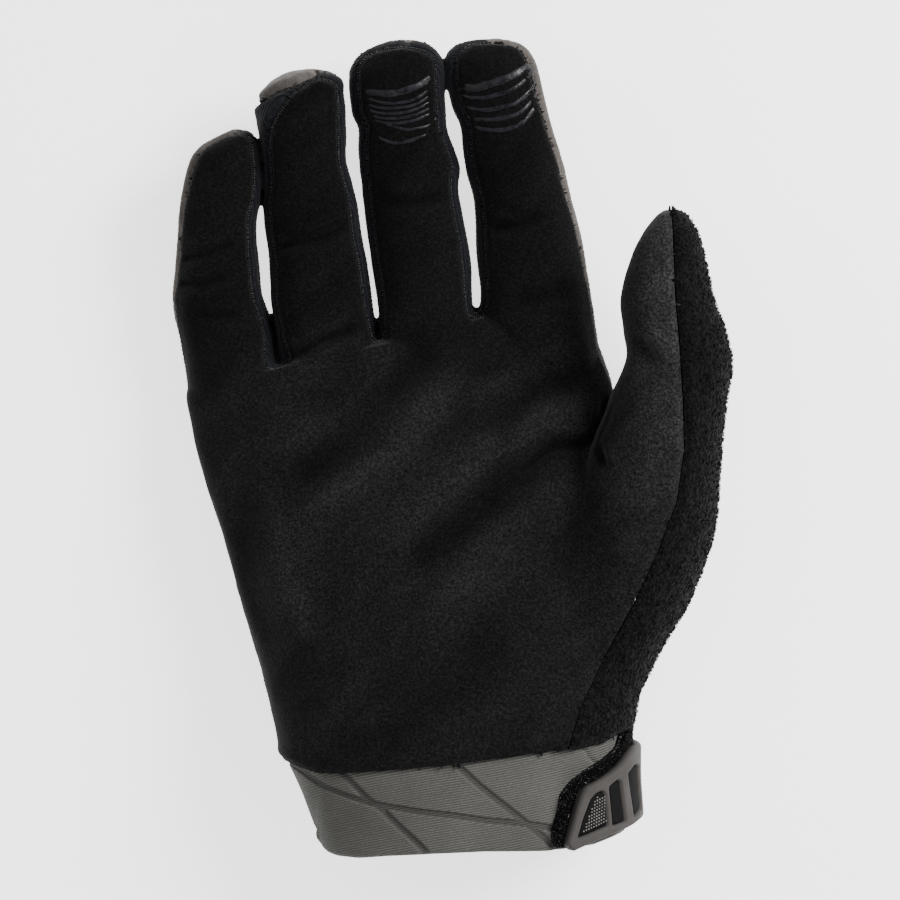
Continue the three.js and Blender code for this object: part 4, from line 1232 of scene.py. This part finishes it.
def insideDepth(points, rings):
    # how far inside the outlines each place lies, less than zero outside them
    nearest, inside = np.full(len(points), 1e9), np.zeros(len(points), bool)
    for path in rings:
        for a, b in zip(path, np.roll(path, -1, axis=0)):
            nearest = np.minimum(nearest, fromSegment(points, a, b)[0])
            crosses = (a[1] > points[:, 1]) != (b[1] > points[:, 1])
            with np.errstate(divide="ignore", invalid="ignore"):
                at = a[0] + (points[:, 1] - a[1]) / (b[1] - a[1]) * (b[0] - a[0])
            inside ^= crosses & (points[:, 0] < at)
    return np.where(inside, nearest, -nearest)


# how far out from the wrist each layer starts and ends
layers = {
    "hook": (0.0003, 0.0019), "tab": (0.0022, 0.0045), "window": (0.0022, 0.0039), "strap": (0.0003, 0.0017),
}


def rolledTop(layer, deep, fall, run, power=2):
    # a layer's outer face, falling away within a short run of its edges
    return layers[layer][1] - fall * (1 - np.minimum(deep / run, 1)) ** power


def relief(name, rings, step, layer, topOf, material, nodes):
    # a closed slab over outlines on the wrist, its top shaped by how deep inside them each place lies
    low, high = rings[0].min(axis=0) - step, rings[0].max(axis=0) + step
    across, up = (max(3, int((high[k] - low[k]) / step)) for k in (0, 1))
    grid = np.meshgrid(np.linspace(low[0], high[0], across), np.linspace(low[1], high[1], up))
    flat = np.stack([grid[0].ravel(), grid[1].ravel(), np.zeros(up * across)], axis=-1)
    j, i = np.meshgrid(np.arange(up - 1), np.arange(across - 1), indexing="ij")
    a = (j * across + i).ravel()
    corners = [(a, a + 1, a + across + 1), (a, a + across + 1, a + across)]
    triangles = np.concatenate([np.stack(corner, 1) for corner in corners])
    flat, triangles = clip(flat, triangles, lambda q: insideDepth(q[:, :2], rings))
    deep = np.maximum(0, insideDepth(flat[:, :2], rings))
    count = len(flat)
    foot = np.full(count, layers[layer][0])
    upper, lower = (wristPoint(*flat[:, :2].T, out) for out in (topOf(flat, deep), foot))
    faces = triangles.tolist() + (triangles[:, ::-1] + count).tolist()
    faces += [(b, a, a + count, b + count) for a, b in rimEdges(triangles)]
    piece = newPiece(name, place(np.concatenate([upper, lower])), faces, material)
    if material is twill:
        addFloats(piece, "twillPhase", np.tile(flat[:, 1] / millimetre / strapLook["ribEvery"], 2))
        addFloats(piece, "groove", np.zeros(2 * count))
    finishPiece(piece, nodes)


def onTab(outline, layer, radius=0.5):
    # an outline seen from the front, in millimetres, laid round the wrist
    path = []
    for x, y in outline:
        given = isinstance(x, tuple)
        way = x[0] if given else float(wayOf(x * millimetre, y * millimetre, layers[layer][1])) / millimetre
        path.append((way, y))
    return rounded(path, radius)


# outlines in millimetres across and up; a place in brackets is given by its way round the wrist instead


tabLook = {
    "outline": [
        (30.4, -25.0), (28.9, -22.9), (31.4, -14.8), (32.9, -10.3), (34.0, -8.7), (38.5, -6.6), (42.8, -3.8),
        (45.2, -1.2), (46.9, 0.8), ((65.5,), 1.6), ((65.5,), -15.2), ((56.0,), -16.8), (48.0, -18.3),
        (45.3, -19.6), (39.8, -21.2), (33.7, -23.6),
    ],
    "windows": {
        "dotted": [
            (31.6, -21.6), (33.2, -16.4), (35.1, -11.7), (36.4, -10.4), (38.0, -9.7), (38.8, -10.6),
            (39.5, -18.8),
        ],
        "middle": [(39.9, -8.8), (42.2, -7.1), (43.0, -7.8), (44.3, -18.0), (40.8, -18.9)],
        "side": [(45.0, -5.8), (46.9, -3.7), (47.9, -4.3), (48.7, -15.6), (46.6, -17.3)],
    },
    "fineness": 0.00024,
}
hookLook = {
    "outline": [
        (25.9, -24.2), (25.3, -22.0), (25.7, -18.7), (27.1, -14.7), (27.8, -10.6), (30.7, -7.1), (34.4, -4.6),
        (39.7, -1.6), (43.0, 1.0), (44.0, 4.2), (45.3, 5.8), (46.9, 4.6), ((54.5,), 2.6), ((54.5,), -17.0),
        (46.0, -18.6), (38.0, -21.0), (31.0, -24.2),
    ],
    "fineness": 0.0004,
    "hooks": 4200,
    "tries": 24000,
    # a hook's path and thickness, in millimetres
    "hook": [(0, 0, 0), (0, 0, 0.5), (0.18, 0, 0.68), (0.36, 0, 0.55)],
    "thick": 0.07,
}
strapLook = {"front": 54.9, "back": 132.0, "low": -20.6, "high": 0.3, "fineness": 0.0006, "ribEvery": 0.7}


def hookTop(flat, deep):
    tufts = 0.16 * softNoise(flat, 0.0009, 8) + 0.1 * softNoise(flat, 0.0004, 9)
    rolled = rolledTop("hook", deep, 0.0008, 0.0008)
    return rolled - 0.0003 + tufts * millimetre * np.minimum(deep / 0.0004, 1)


def tabTop(flat, deep):
    return rolledTop("tab", deep, 0.0006, 0.00055, 2.2)


def windowTop(flat, deep):
    return rolledTop("window", deep, 0.0004, 0.0006)


def strapTop(flat, deep):
    # with a seam pressed in along its edge
    return rolledTop("strap", deep, 0.0005, 0.0007) - bell(deep, 0.0017, 0.00035, 0.00022)


def makeTab():
    hookRing = onTab(hookLook["outline"], "hook", 0.8)
    relief("hookPatch", [hookRing], hookLook["fineness"], "hook", hookTop, hooks, ["hook_patch"])
    tabRing, fineness = onTab(tabLook["outline"], "tab", 0.9), tabLook["fineness"]
    windows = {name: onTab(path, "tab") for name, path in tabLook["windows"].items()}
    edges = [tabRing, *windows.values()]
    relief("pullTab", edges, fineness, "tab", tabTop, moulded, ["pull_tab"])
    for name, ring in windows.items():
        middle = ring.mean(axis=0)
        inner, nodes = middle + (ring - middle) * 0.985, ["tab_window_" + name]
        relief(name + "Window", [inner], fineness, "window", windowTop, windowBlack, nodes)
    return hookRing, tabRing


def makeStrap():
    front, back, low, high = (strapLook[key] for key in ("front", "back", "low", "high"))
    ring = rounded([(front, low), (front, high), (back, high), (back, low)], 1.5)
    relief("wristStrap", [ring], strapLook["fineness"], "strap", strapTop, twill, ["strap"])


makeCuff()
hookRing, tabRing = makeTab()
makeStrap()
print("wrist made")

# each line's thickness and its path as seen, in millimetres
gripPaths = {
    "middle": [
        (1.9, [(-24.3, 171.7), (-20.0, 171.4), (-15.8, 171.4), (-11.2, 172.7), (-7.9, 174.3), (-5.9, 176.0)]),
        (0.85, [(-24.3, 170.6), (-19.4, 168.9), (-14.4, 168.9), (-9.9, 170.1), (-5.6, 173.2)]),
        (0.8, [(-23.6, 168.6), (-19.4, 167.5), (-14.4, 167.6), (-9.9, 168.6), (-5.3, 171.6)]),
        (0.8, [(-23.6, 167.3), (-19.4, 166.1), (-14.4, 166.2), (-9.9, 167.3), (-4.9, 169.9)]),
        (0.8, [(-23.3, 166.0), (-19.4, 164.8), (-14.4, 164.9), (-9.9, 165.9), (-4.6, 168.3)]),
        (0.8, [(-22.0, 164.5), (-18.4, 163.6), (-14.4, 163.6), (-9.9, 164.5), (-5.3, 166.5)]),
        (0.75, [(-18.4, 163.2), (-13.1, 161.9), (-10.5, 162.1), (-6.9, 162.9), (-4.3, 165.3)]),
        (0.9, [(-20.2, 160.0), (-18.7, 159.1), (-15.8, 158.3), (-11.2, 159.1), (-7.4, 160.6)]),
    ],
    "index": [
        (2.1, [(0.3, 173.2), (5.2, 172.7), (8.8, 173.7), (12.8, 175.0), (16.0, 176.5), (19.6, 178.9)]),
        (1.15, [
            (1.3, 171.2), (3.9, 170.2), (7.8, 170.2), (11.8, 171.2), (14.4, 172.0), (18.3, 174.8),
            (20.6, 178.0),
        ]),
        (1.15, [
            (1.6, 168.3), (5.2, 167.1), (9.5, 167.1), (13.1, 168.0), (16.0, 168.8), (19.6, 171.9),
            (21.0, 174.5),
        ]),
        (1.15, [
            (2.3, 165.7), (5.2, 164.5), (10.1, 164.5), (13.7, 165.2), (17.0, 166.3), (20.3, 169.6),
            (21.3, 171.9),
        ]),
        (1.2, [(3.6, 163.4), (6.9, 161.9), (11.8, 161.7), (15.1, 162.4), (17.7, 163.7), (21.3, 168.0)]),
    ],
}
gripLook = {
    "height": 0.26, "sunk": 0.15, "every": 0.35, "thin": 0.85, "thinShare": 0.55,
    "smear": 0.22, "endShare": 0.08,
}


def smoothPath(path, every):
    # a curve through points in plan, in even steps
    path = np.array(path, float)
    dense = []
    for i in range(len(path) - 1):
        p0, p1, p2, p3 = (path[min(max(i + k, 0), len(path) - 1)] for k in (-1, 0, 1, 2))
        for t in np.linspace(0, 1, 24, endpoint=False):
            bend = (2 * p0 - 5 * p1 + 4 * p2 - p3) * t**2 + (3 * p1 - p0 - 3 * p2 + p3) * t**3
            dense.append(0.5 * (2 * p1 + (p2 - p0) * t + bend))
    dense = np.array(dense + [path[-1]])
    way = wayAlong(dense)
    at = np.linspace(0, way[-1], max(4, int(way[-1] / every)))
    return np.stack([np.interp(at, way, dense[:, k]) for k in (0, 1)], axis=-1)


def dropOnSkin(path):
    # the places on the palm's skin that the camera sees at places in plan, with the skin's normals
    eyeAt = Vector((*(eye["aim"][k] - hemCentre[k] for k in (0, 1)), eye["distance"] + eye["sharpHeight"]))
    found, facing = [], []
    for x, y in path * millimetre:
        hit, normal = skinTree.ray_cast(eyeAt, (Vector((x, y, eye["sharpHeight"])) - eyeAt).normalized())[:2]
        if hit is not None:
            found.append(hit[:])
            facing.append(normal[:])
    facing = np.array(facing)
    for _ in range(3):
        facing[1:-1] = (facing[:-2] + facing[1:-1] + facing[2:]) / 3
    return np.array(found), unit(facing)


def ribbon(points, normals, widths, heights, sunk):
    # a raised line with a rounded back and flat underside, closed at both ends
    sideways = unit(np.cross(normals, np.gradient(points, axis=0)))
    half = [(-1.0, -1), (-0.96, 0.35), (-0.7, 0.8), (-0.3, 1.0)]
    rows = []
    for across, up in half + [(-across, up) for across, up in half[::-1]]:
        lift = np.where(up < 0, -sunk, up * heights)
        rows.append(points + sideways * (across * widths / 2)[:, None] + normals * lift[:, None])
    return np.stack(rows, axis=1).reshape(-1, 3), cappedTube(len(points), len(rows))


def makeGrips(name):
    lines = []
    for thick, path in gripPaths[name]:
        laid, normals = dropOnSkin(smoothPath(path, gripLook["every"]))
        taper = np.clip((1 - np.abs(np.linspace(-1, 1, len(laid)))) / gripLook["endShare"], 0.15, 1)
        widths = thick * millimetre * (1 + gripLook["smear"] * softNoise(laid, 0.0022, 12)) * taper
        high = gripLook["height"] * (1.0 if thick > gripLook["thin"] else gripLook["thinShare"]) * millimetre
        heights = high * (0.8 + 0.5 * softNoise(laid, 0.003, 13)) * taper
        lines.append(ribbon(laid, normals, widths, heights, gripLook["sunk"] * millimetre))
    points, faces = joined(lines)
    piece = newPiece(name + "GripLines", place(points), faces, gripPrint)
    finishPiece(piece, [f"{name}_grip_{i + 1}" for i in range(len(lines))])


makeGrips("middle")
makeGrips("index")
print("grip lines laid")


# loops, stitches, dots and hooks, set out by one node tree
def smallShape(name, points, faces):
    piece = newPiece(name, points, faces)
    piece.data.shade_smooth()
    return piece


def pathShape(name, path, radius, sides=4):
    # a small tube along a path of a few points
    path = np.array(path, float)
    points = []
    for point, tangent in zip(path, unit(np.gradient(path, axis=0))):
        aside = np.cross(tangent, (0, 1, 0) if abs(tangent[1]) < 0.9 else (1, 0, 0))
        aside /= np.linalg.norm(aside)
        other = np.cross(tangent, aside)
        for k in range(sides):
            turn = 2 * math.pi * (k + 0.5) / sides
            points.append(point + radius * (math.cos(turn) * aside + math.sin(turn) * other))
    return smallShape(name, points, cappedTube(len(path), sides, flip=True))


def scatterTree():
    tree = bpy.data.node_groups.new("setOut", "GeometryNodeTree")
    sockets = {
        "Places": "Geometry", "Shape": "Object", "Material": "Material",
        "Smallest": "Float", "Largest": "Float", "Turn": "Float", "Lean": "Float", "Seed": "Int",
    }
    for name, kind in sockets.items():
        tree.interface.new_socket(name, in_out="INPUT", socket_type="NodeSocket" + kind)
    tree.interface.new_socket("Made", in_out="OUTPUT", socket_type="NodeSocketGeometry")

    def add(kind, inputs=None, **settings):
        return addNode(tree, kind, inputs, **settings).outputs

    given = add("NodeGroupInput")

    def random(low, high, shift):
        seed = add("ShaderNodeMath", {0: given["Seed"], 1: shift}, operation="ADD")[0]
        return add("FunctionNodeRandomValue", {2: low, 3: high, "Seed": seed}, data_type="FLOAT")[1]

    def swing(name, shift):
        # a random turn either way, up to one of the inputs
        back = add("ShaderNodeMath", {0: given[name], 1: -1}, operation="MULTIPLY")[0]
        return random(back, given[name], shift)

    up, ahead = (
        add("GeometryNodeInputNamedAttribute", {"Name": name}, data_type="FLOAT_VECTOR")["Attribute"]
        for name in ("up", "ahead")
    )
    axes = {"Primary Axis": up, "Secondary Axis": ahead}
    lie = add("FunctionNodeAxesToRotation", axes, primary_axis="Z", secondary_axis="X")[0]
    swings = {"X": swing("Lean", 11), "Y": swing("Lean", 23), "Z": swing("Turn", 37)}
    spin = add("ShaderNodeCombineXYZ", swings)[0]
    toTurn = add("FunctionNodeEulerToRotation", {0: spin})[0]
    copies = add("GeometryNodeInstanceOnPoints", {
        "Points": given["Places"],
        "Instance": add("GeometryNodeObjectInfo", {"Object": given["Shape"]})["Geometry"],
        "Rotation": add("FunctionNodeRotateRotation", {0: lie, 1: toTurn}, rotation_space="LOCAL")[0],
        "Scale": random(given["Smallest"], given["Largest"], 53),
    })
    real = add("GeometryNodeRealizeInstances", {"Geometry": copies["Instances"]})["Geometry"]
    painted = add("GeometryNodeSetMaterial", {"Geometry": real, "Material": given["Material"]})["Geometry"]
    add("NodeGroupOutput", {0: painted})
    return tree


scatter = scatterTree()


def setOut(name, places, shape, slot, **settings):
    # points with two directions each become copies of a small shape
    points, ups, aheads = places
    piece = newPiece(name, place(points))
    for key, values in (("up", ups), ("ahead", aheads)):
        data = piece.data.attributes.new(key, "FLOAT_VECTOR", "POINT").data
        data.foreach_set("vector", np.asarray(values, np.float32).ravel())
    modifier = piece.modifiers.new("setOut", "NODES")
    modifier.node_group = scatter
    settings["Shape"] = shape
    for item in scatter.interface.items_tree:
        if item.item_type == "SOCKET" and item.in_out == "INPUT" and item.name in settings:
            modifier[item.identifier] = settings[item.name]
    finishPiece(piece, [])
    bpy.data.objects.remove(shape)


def spreadOver(points, triangles, count, seed, keep):
    # places spread over a surface by area, with the surface's normals and a random way along it
    start, b, c = (points[triangles[:, k]] for k in range(3))
    toB, toC = b - start, c - start
    normals = np.cross(toB, toC)
    areas = np.linalg.norm(normals, axis=1)
    chance = np.random.default_rng(seed)
    pick = chance.choice(len(triangles), count, p=areas / areas.sum())
    p, q = chance.random(count), chance.random(count)
    flip = p + q > 1
    p[flip], q[flip] = 1 - p[flip], 1 - q[flip]
    spots = start[pick] + p[:, None] * toB[pick] + q[:, None] * toC[pick]
    facing = normals[pick] / areas[pick][:, None]
    kept = keep(spots)
    spots, facing = spots[kept], facing[kept]
    return spots, facing, unit(np.cross(facing, chance.normal(size=spots.shape)))


def alongSeam(seamLines, every, inset, keep):
    # places at even steps along seam lines, with the surface's normals and the way along the seam
    found = []
    for line, facing in seamLines:
        loop, up = np.vstack([line, line[:1]]), np.vstack([facing, facing[:1]])
        way = wayAlong(loop)
        at = np.arange(0, way[-1], every)
        smooth = [np.convolve(np.pad(loop[:, k], 3, "wrap"), np.ones(7) / 7, "valid") for k in range(3)]
        spot = np.stack([np.interp(at, way, column) for column in smooth], axis=-1)
        upAt = unit(np.stack([np.interp(at, way, up[:, k]) for k in range(3)], axis=-1))
        ahead = unit(np.roll(spot, -1, axis=0) - np.roll(spot, 1, axis=0))
        spot = spot + np.cross(upAt, ahead) * inset
        kept = keep(spot)
        found.append((spot[kept], upAt[kept], ahead[kept]))
    return [np.concatenate(values) for values in zip(*found)]


stitchLook = {  # in millimetres; the stitches start at the fingers' roots
    "every": 0.62, "long": 0.6, "thick": 0.09, "inset": 0.35, "over": 0.62, "bow": 0.08, "sunk": 0.1,
    "start": 94, "foot": 6,
}


def makeStitches():
    # the overlocked fringe along the palm panel's seams: short threads that cross its edge
    size = {key: value * millimetre for key, value in stitchLook.items()}

    def clear(spot):
        middles = seamHeights(spot[:, 0], spot[:, 1])[2]
        inner = (spot[:, 0] > middles[0]) & (spot[:, 0] < middles[3])
        return (spot[:, 2] > size["foot"]) & (spot[:, 1] > size["start"]) & inner

    spots, ups, aheads = alongSeam(palmSeams, size["every"], size["inset"], clear)
    half, bow, sunk = size["long"] / 2, size["bow"], size["sunk"]
    path = [(-half, 0, -sunk), (-half / 2, 0, bow), (half / 2, 0, bow), (half, 0, -sunk)]
    shape = pathShape("stitch", path, size["thick"])
    places = spots + ups * size["over"], ups, np.cross(ups, aheads)
    setOut(
        "palmStitches", places, shape, "suede",
        Material=thread, Smallest=0.8, Largest=1.2, Turn=0.25, Lean=0.1, Seed=3,
    )


terryLook = {
    "loops": 7400,
    "high": 0.5, "wide": 0.42, "thick": 0.1, "sunk": 0.2,  # a loop, in millimetres
    # in metres: how far past the seam spots are tried, and below what height the edge strays
    "over": -0.0025, "strayBelow": 0.06,
    "stray": 0.0015, "strayEvery": 0.002, "lowInset": -0.0006, "inset": 0.0009,
}


def makeTerry():
    def clear(spots):
        # low down the loops stray over the seam
        stray = terryLook["stray"] * softNoise(spots, terryLook["strayEvery"], 6)
        low = spots[:, 1] < terryLook["strayBelow"]
        edge = np.where(low, stray + terryLook["lowInset"], terryLook["inset"])
        return (spots[:, 2] > 0.003) & (hemField(spots) > 0.0008) & (terryField(spots) > edge)

    places = spreadOver(*clip(*hemmed, beyond(terryField, terryLook["over"])), terryLook["loops"], 21, clear)
    high, half, sunk = terryLook["high"], terryLook["wide"] / 2, terryLook["sunk"]
    path = [(-half, 0, -sunk), (-half, 0, high * 0.6), (0, 0, high), (half, 0, high * 0.6), (half, 0, -sunk)]
    shape = pathShape("loop", np.array(path) * millimetre, terryLook["thick"] * millimetre, 3)
    setOut(
        "terryLoops", places, shape, "terry",
        Material=terry, Smallest=0.6, Largest=1.25, Turn=3.1, Lean=0.6, Seed=5,
    )


# in millimetres: where the dots stand, how far apart, and each dot's foot, top and height
dotLook = {
    "outline": [(33.0, -20.7), (36.5, -11.5), (38.9, -10.9), (39.3, -18.2)],
    "across": 0.66, "up": 0.8, "foot": 0.28, "top": 0.16, "high": 0.16, "sunk": 0.1,
}


def makeDots():
    # light dots in rows over the lower part of the first window
    rows = [
        (x + 0.05 * (y + 20), y + 0.40 * (x - 33))
        for y in np.arange(-24, -8, dotLook["up"]) for x in np.arange(32, 41, dotLook["across"])
    ]
    rows = np.array(rows)
    rows = rows[insideDepth(rows, [np.array(dotLook["outline"])]) > -0.05] * millimetre
    ways = np.array([float(wayOf(x, y, layers["tab"][1])) for x, y in rows])
    spots, ups = onWrist(ways, rows[:, 1], layers["window"][1] + 0.00003)
    points = []
    for radius, height in ((dotLook["foot"], -dotLook["sunk"]), (dotLook["top"], dotLook["high"])):
        for turn in range(8):
            angle = turn * math.pi / 4
            points.append((radius * math.cos(angle), radius * math.sin(angle), height))
    shape = smallShape("dot", np.array(points) * millimetre, cappedTube(2, 8, flip=True))
    places = spots, ups, np.tile([0.0, 1.0, 0.0], (len(rows), 1))
    setOut(
        "windowDots", places, shape, "window_rubber",
        Material=dots, Smallest=0.9, Largest=1.1, Turn=0.2, Lean=0.02, Seed=7,
    )


def makeHooks():
    # stiff hooks over the part of the tape that the tab leaves bare
    chance = np.random.default_rng(31)
    low, high = hookRing.min(axis=0), hookRing.max(axis=0)
    spots = low + chance.random((hookLook["tries"], 2)) * (high - low)
    bare = (insideDepth(spots, [hookRing]) > 0.0001) & (insideDepth(spots, [tabRing]) < 0.0)
    spots, ups = onWrist(*spots[bare][: hookLook["hooks"]].T, layers["hook"][1] - 0.0004)
    places = spots, ups, np.cross(ups, chance.normal(size=ups.shape))
    shape = pathShape("hook", np.array(hookLook["hook"]) * millimetre, hookLook["thick"] * millimetre)
    setOut(
        "tapeHooks", places, shape, "hook_tape",
        Material=hooks, Smallest=0.7, Largest=1.3, Turn=3.1, Lean=0.35, Seed=9,
    )


makeStitches()
makeTerry()
makeDots()
makeHooks()
print("small parts set out")


def setStage():
    half = studio["floorHalf"]
    corners = [(-half, -half, 0), (half, -half, 0), (half, half, 0), (-half, half, 0)]
    newPiece("floor", corners, [(0, 1, 2, 3)], floorMaterial())
    camera = bpy.data.cameras.new("camera")
    camera.lens = camera.sensor_width * eye["distance"] / eye["frameWidth"]
    camera.clip_start = 0.01
    holder = newObject("camera", camera)
    holder.location = (*eye["aim"], eye["distance"] + eye["sharpHeight"])
    bpy.context.scene.camera = holder
    world = bpy.data.worlds.new("studio")
    world.use_nodes = True
    background = world.node_tree.nodes["Background"].inputs
    background["Color"].default_value = paint(1.0)
    background["Strength"].default_value = studio["world"]
    bpy.context.scene.world = world
    for name, at, size, power in studio["lamps"]:
        light = bpy.data.lights.new(name, "AREA")
        light.size, light.energy = size, power
        holder = newObject(name, light)
        holder.location = at
        holder.rotation_euler = (-Vector(at)).to_track_quat("-Z", "Y").to_euler()


setStage()
print("stage set")
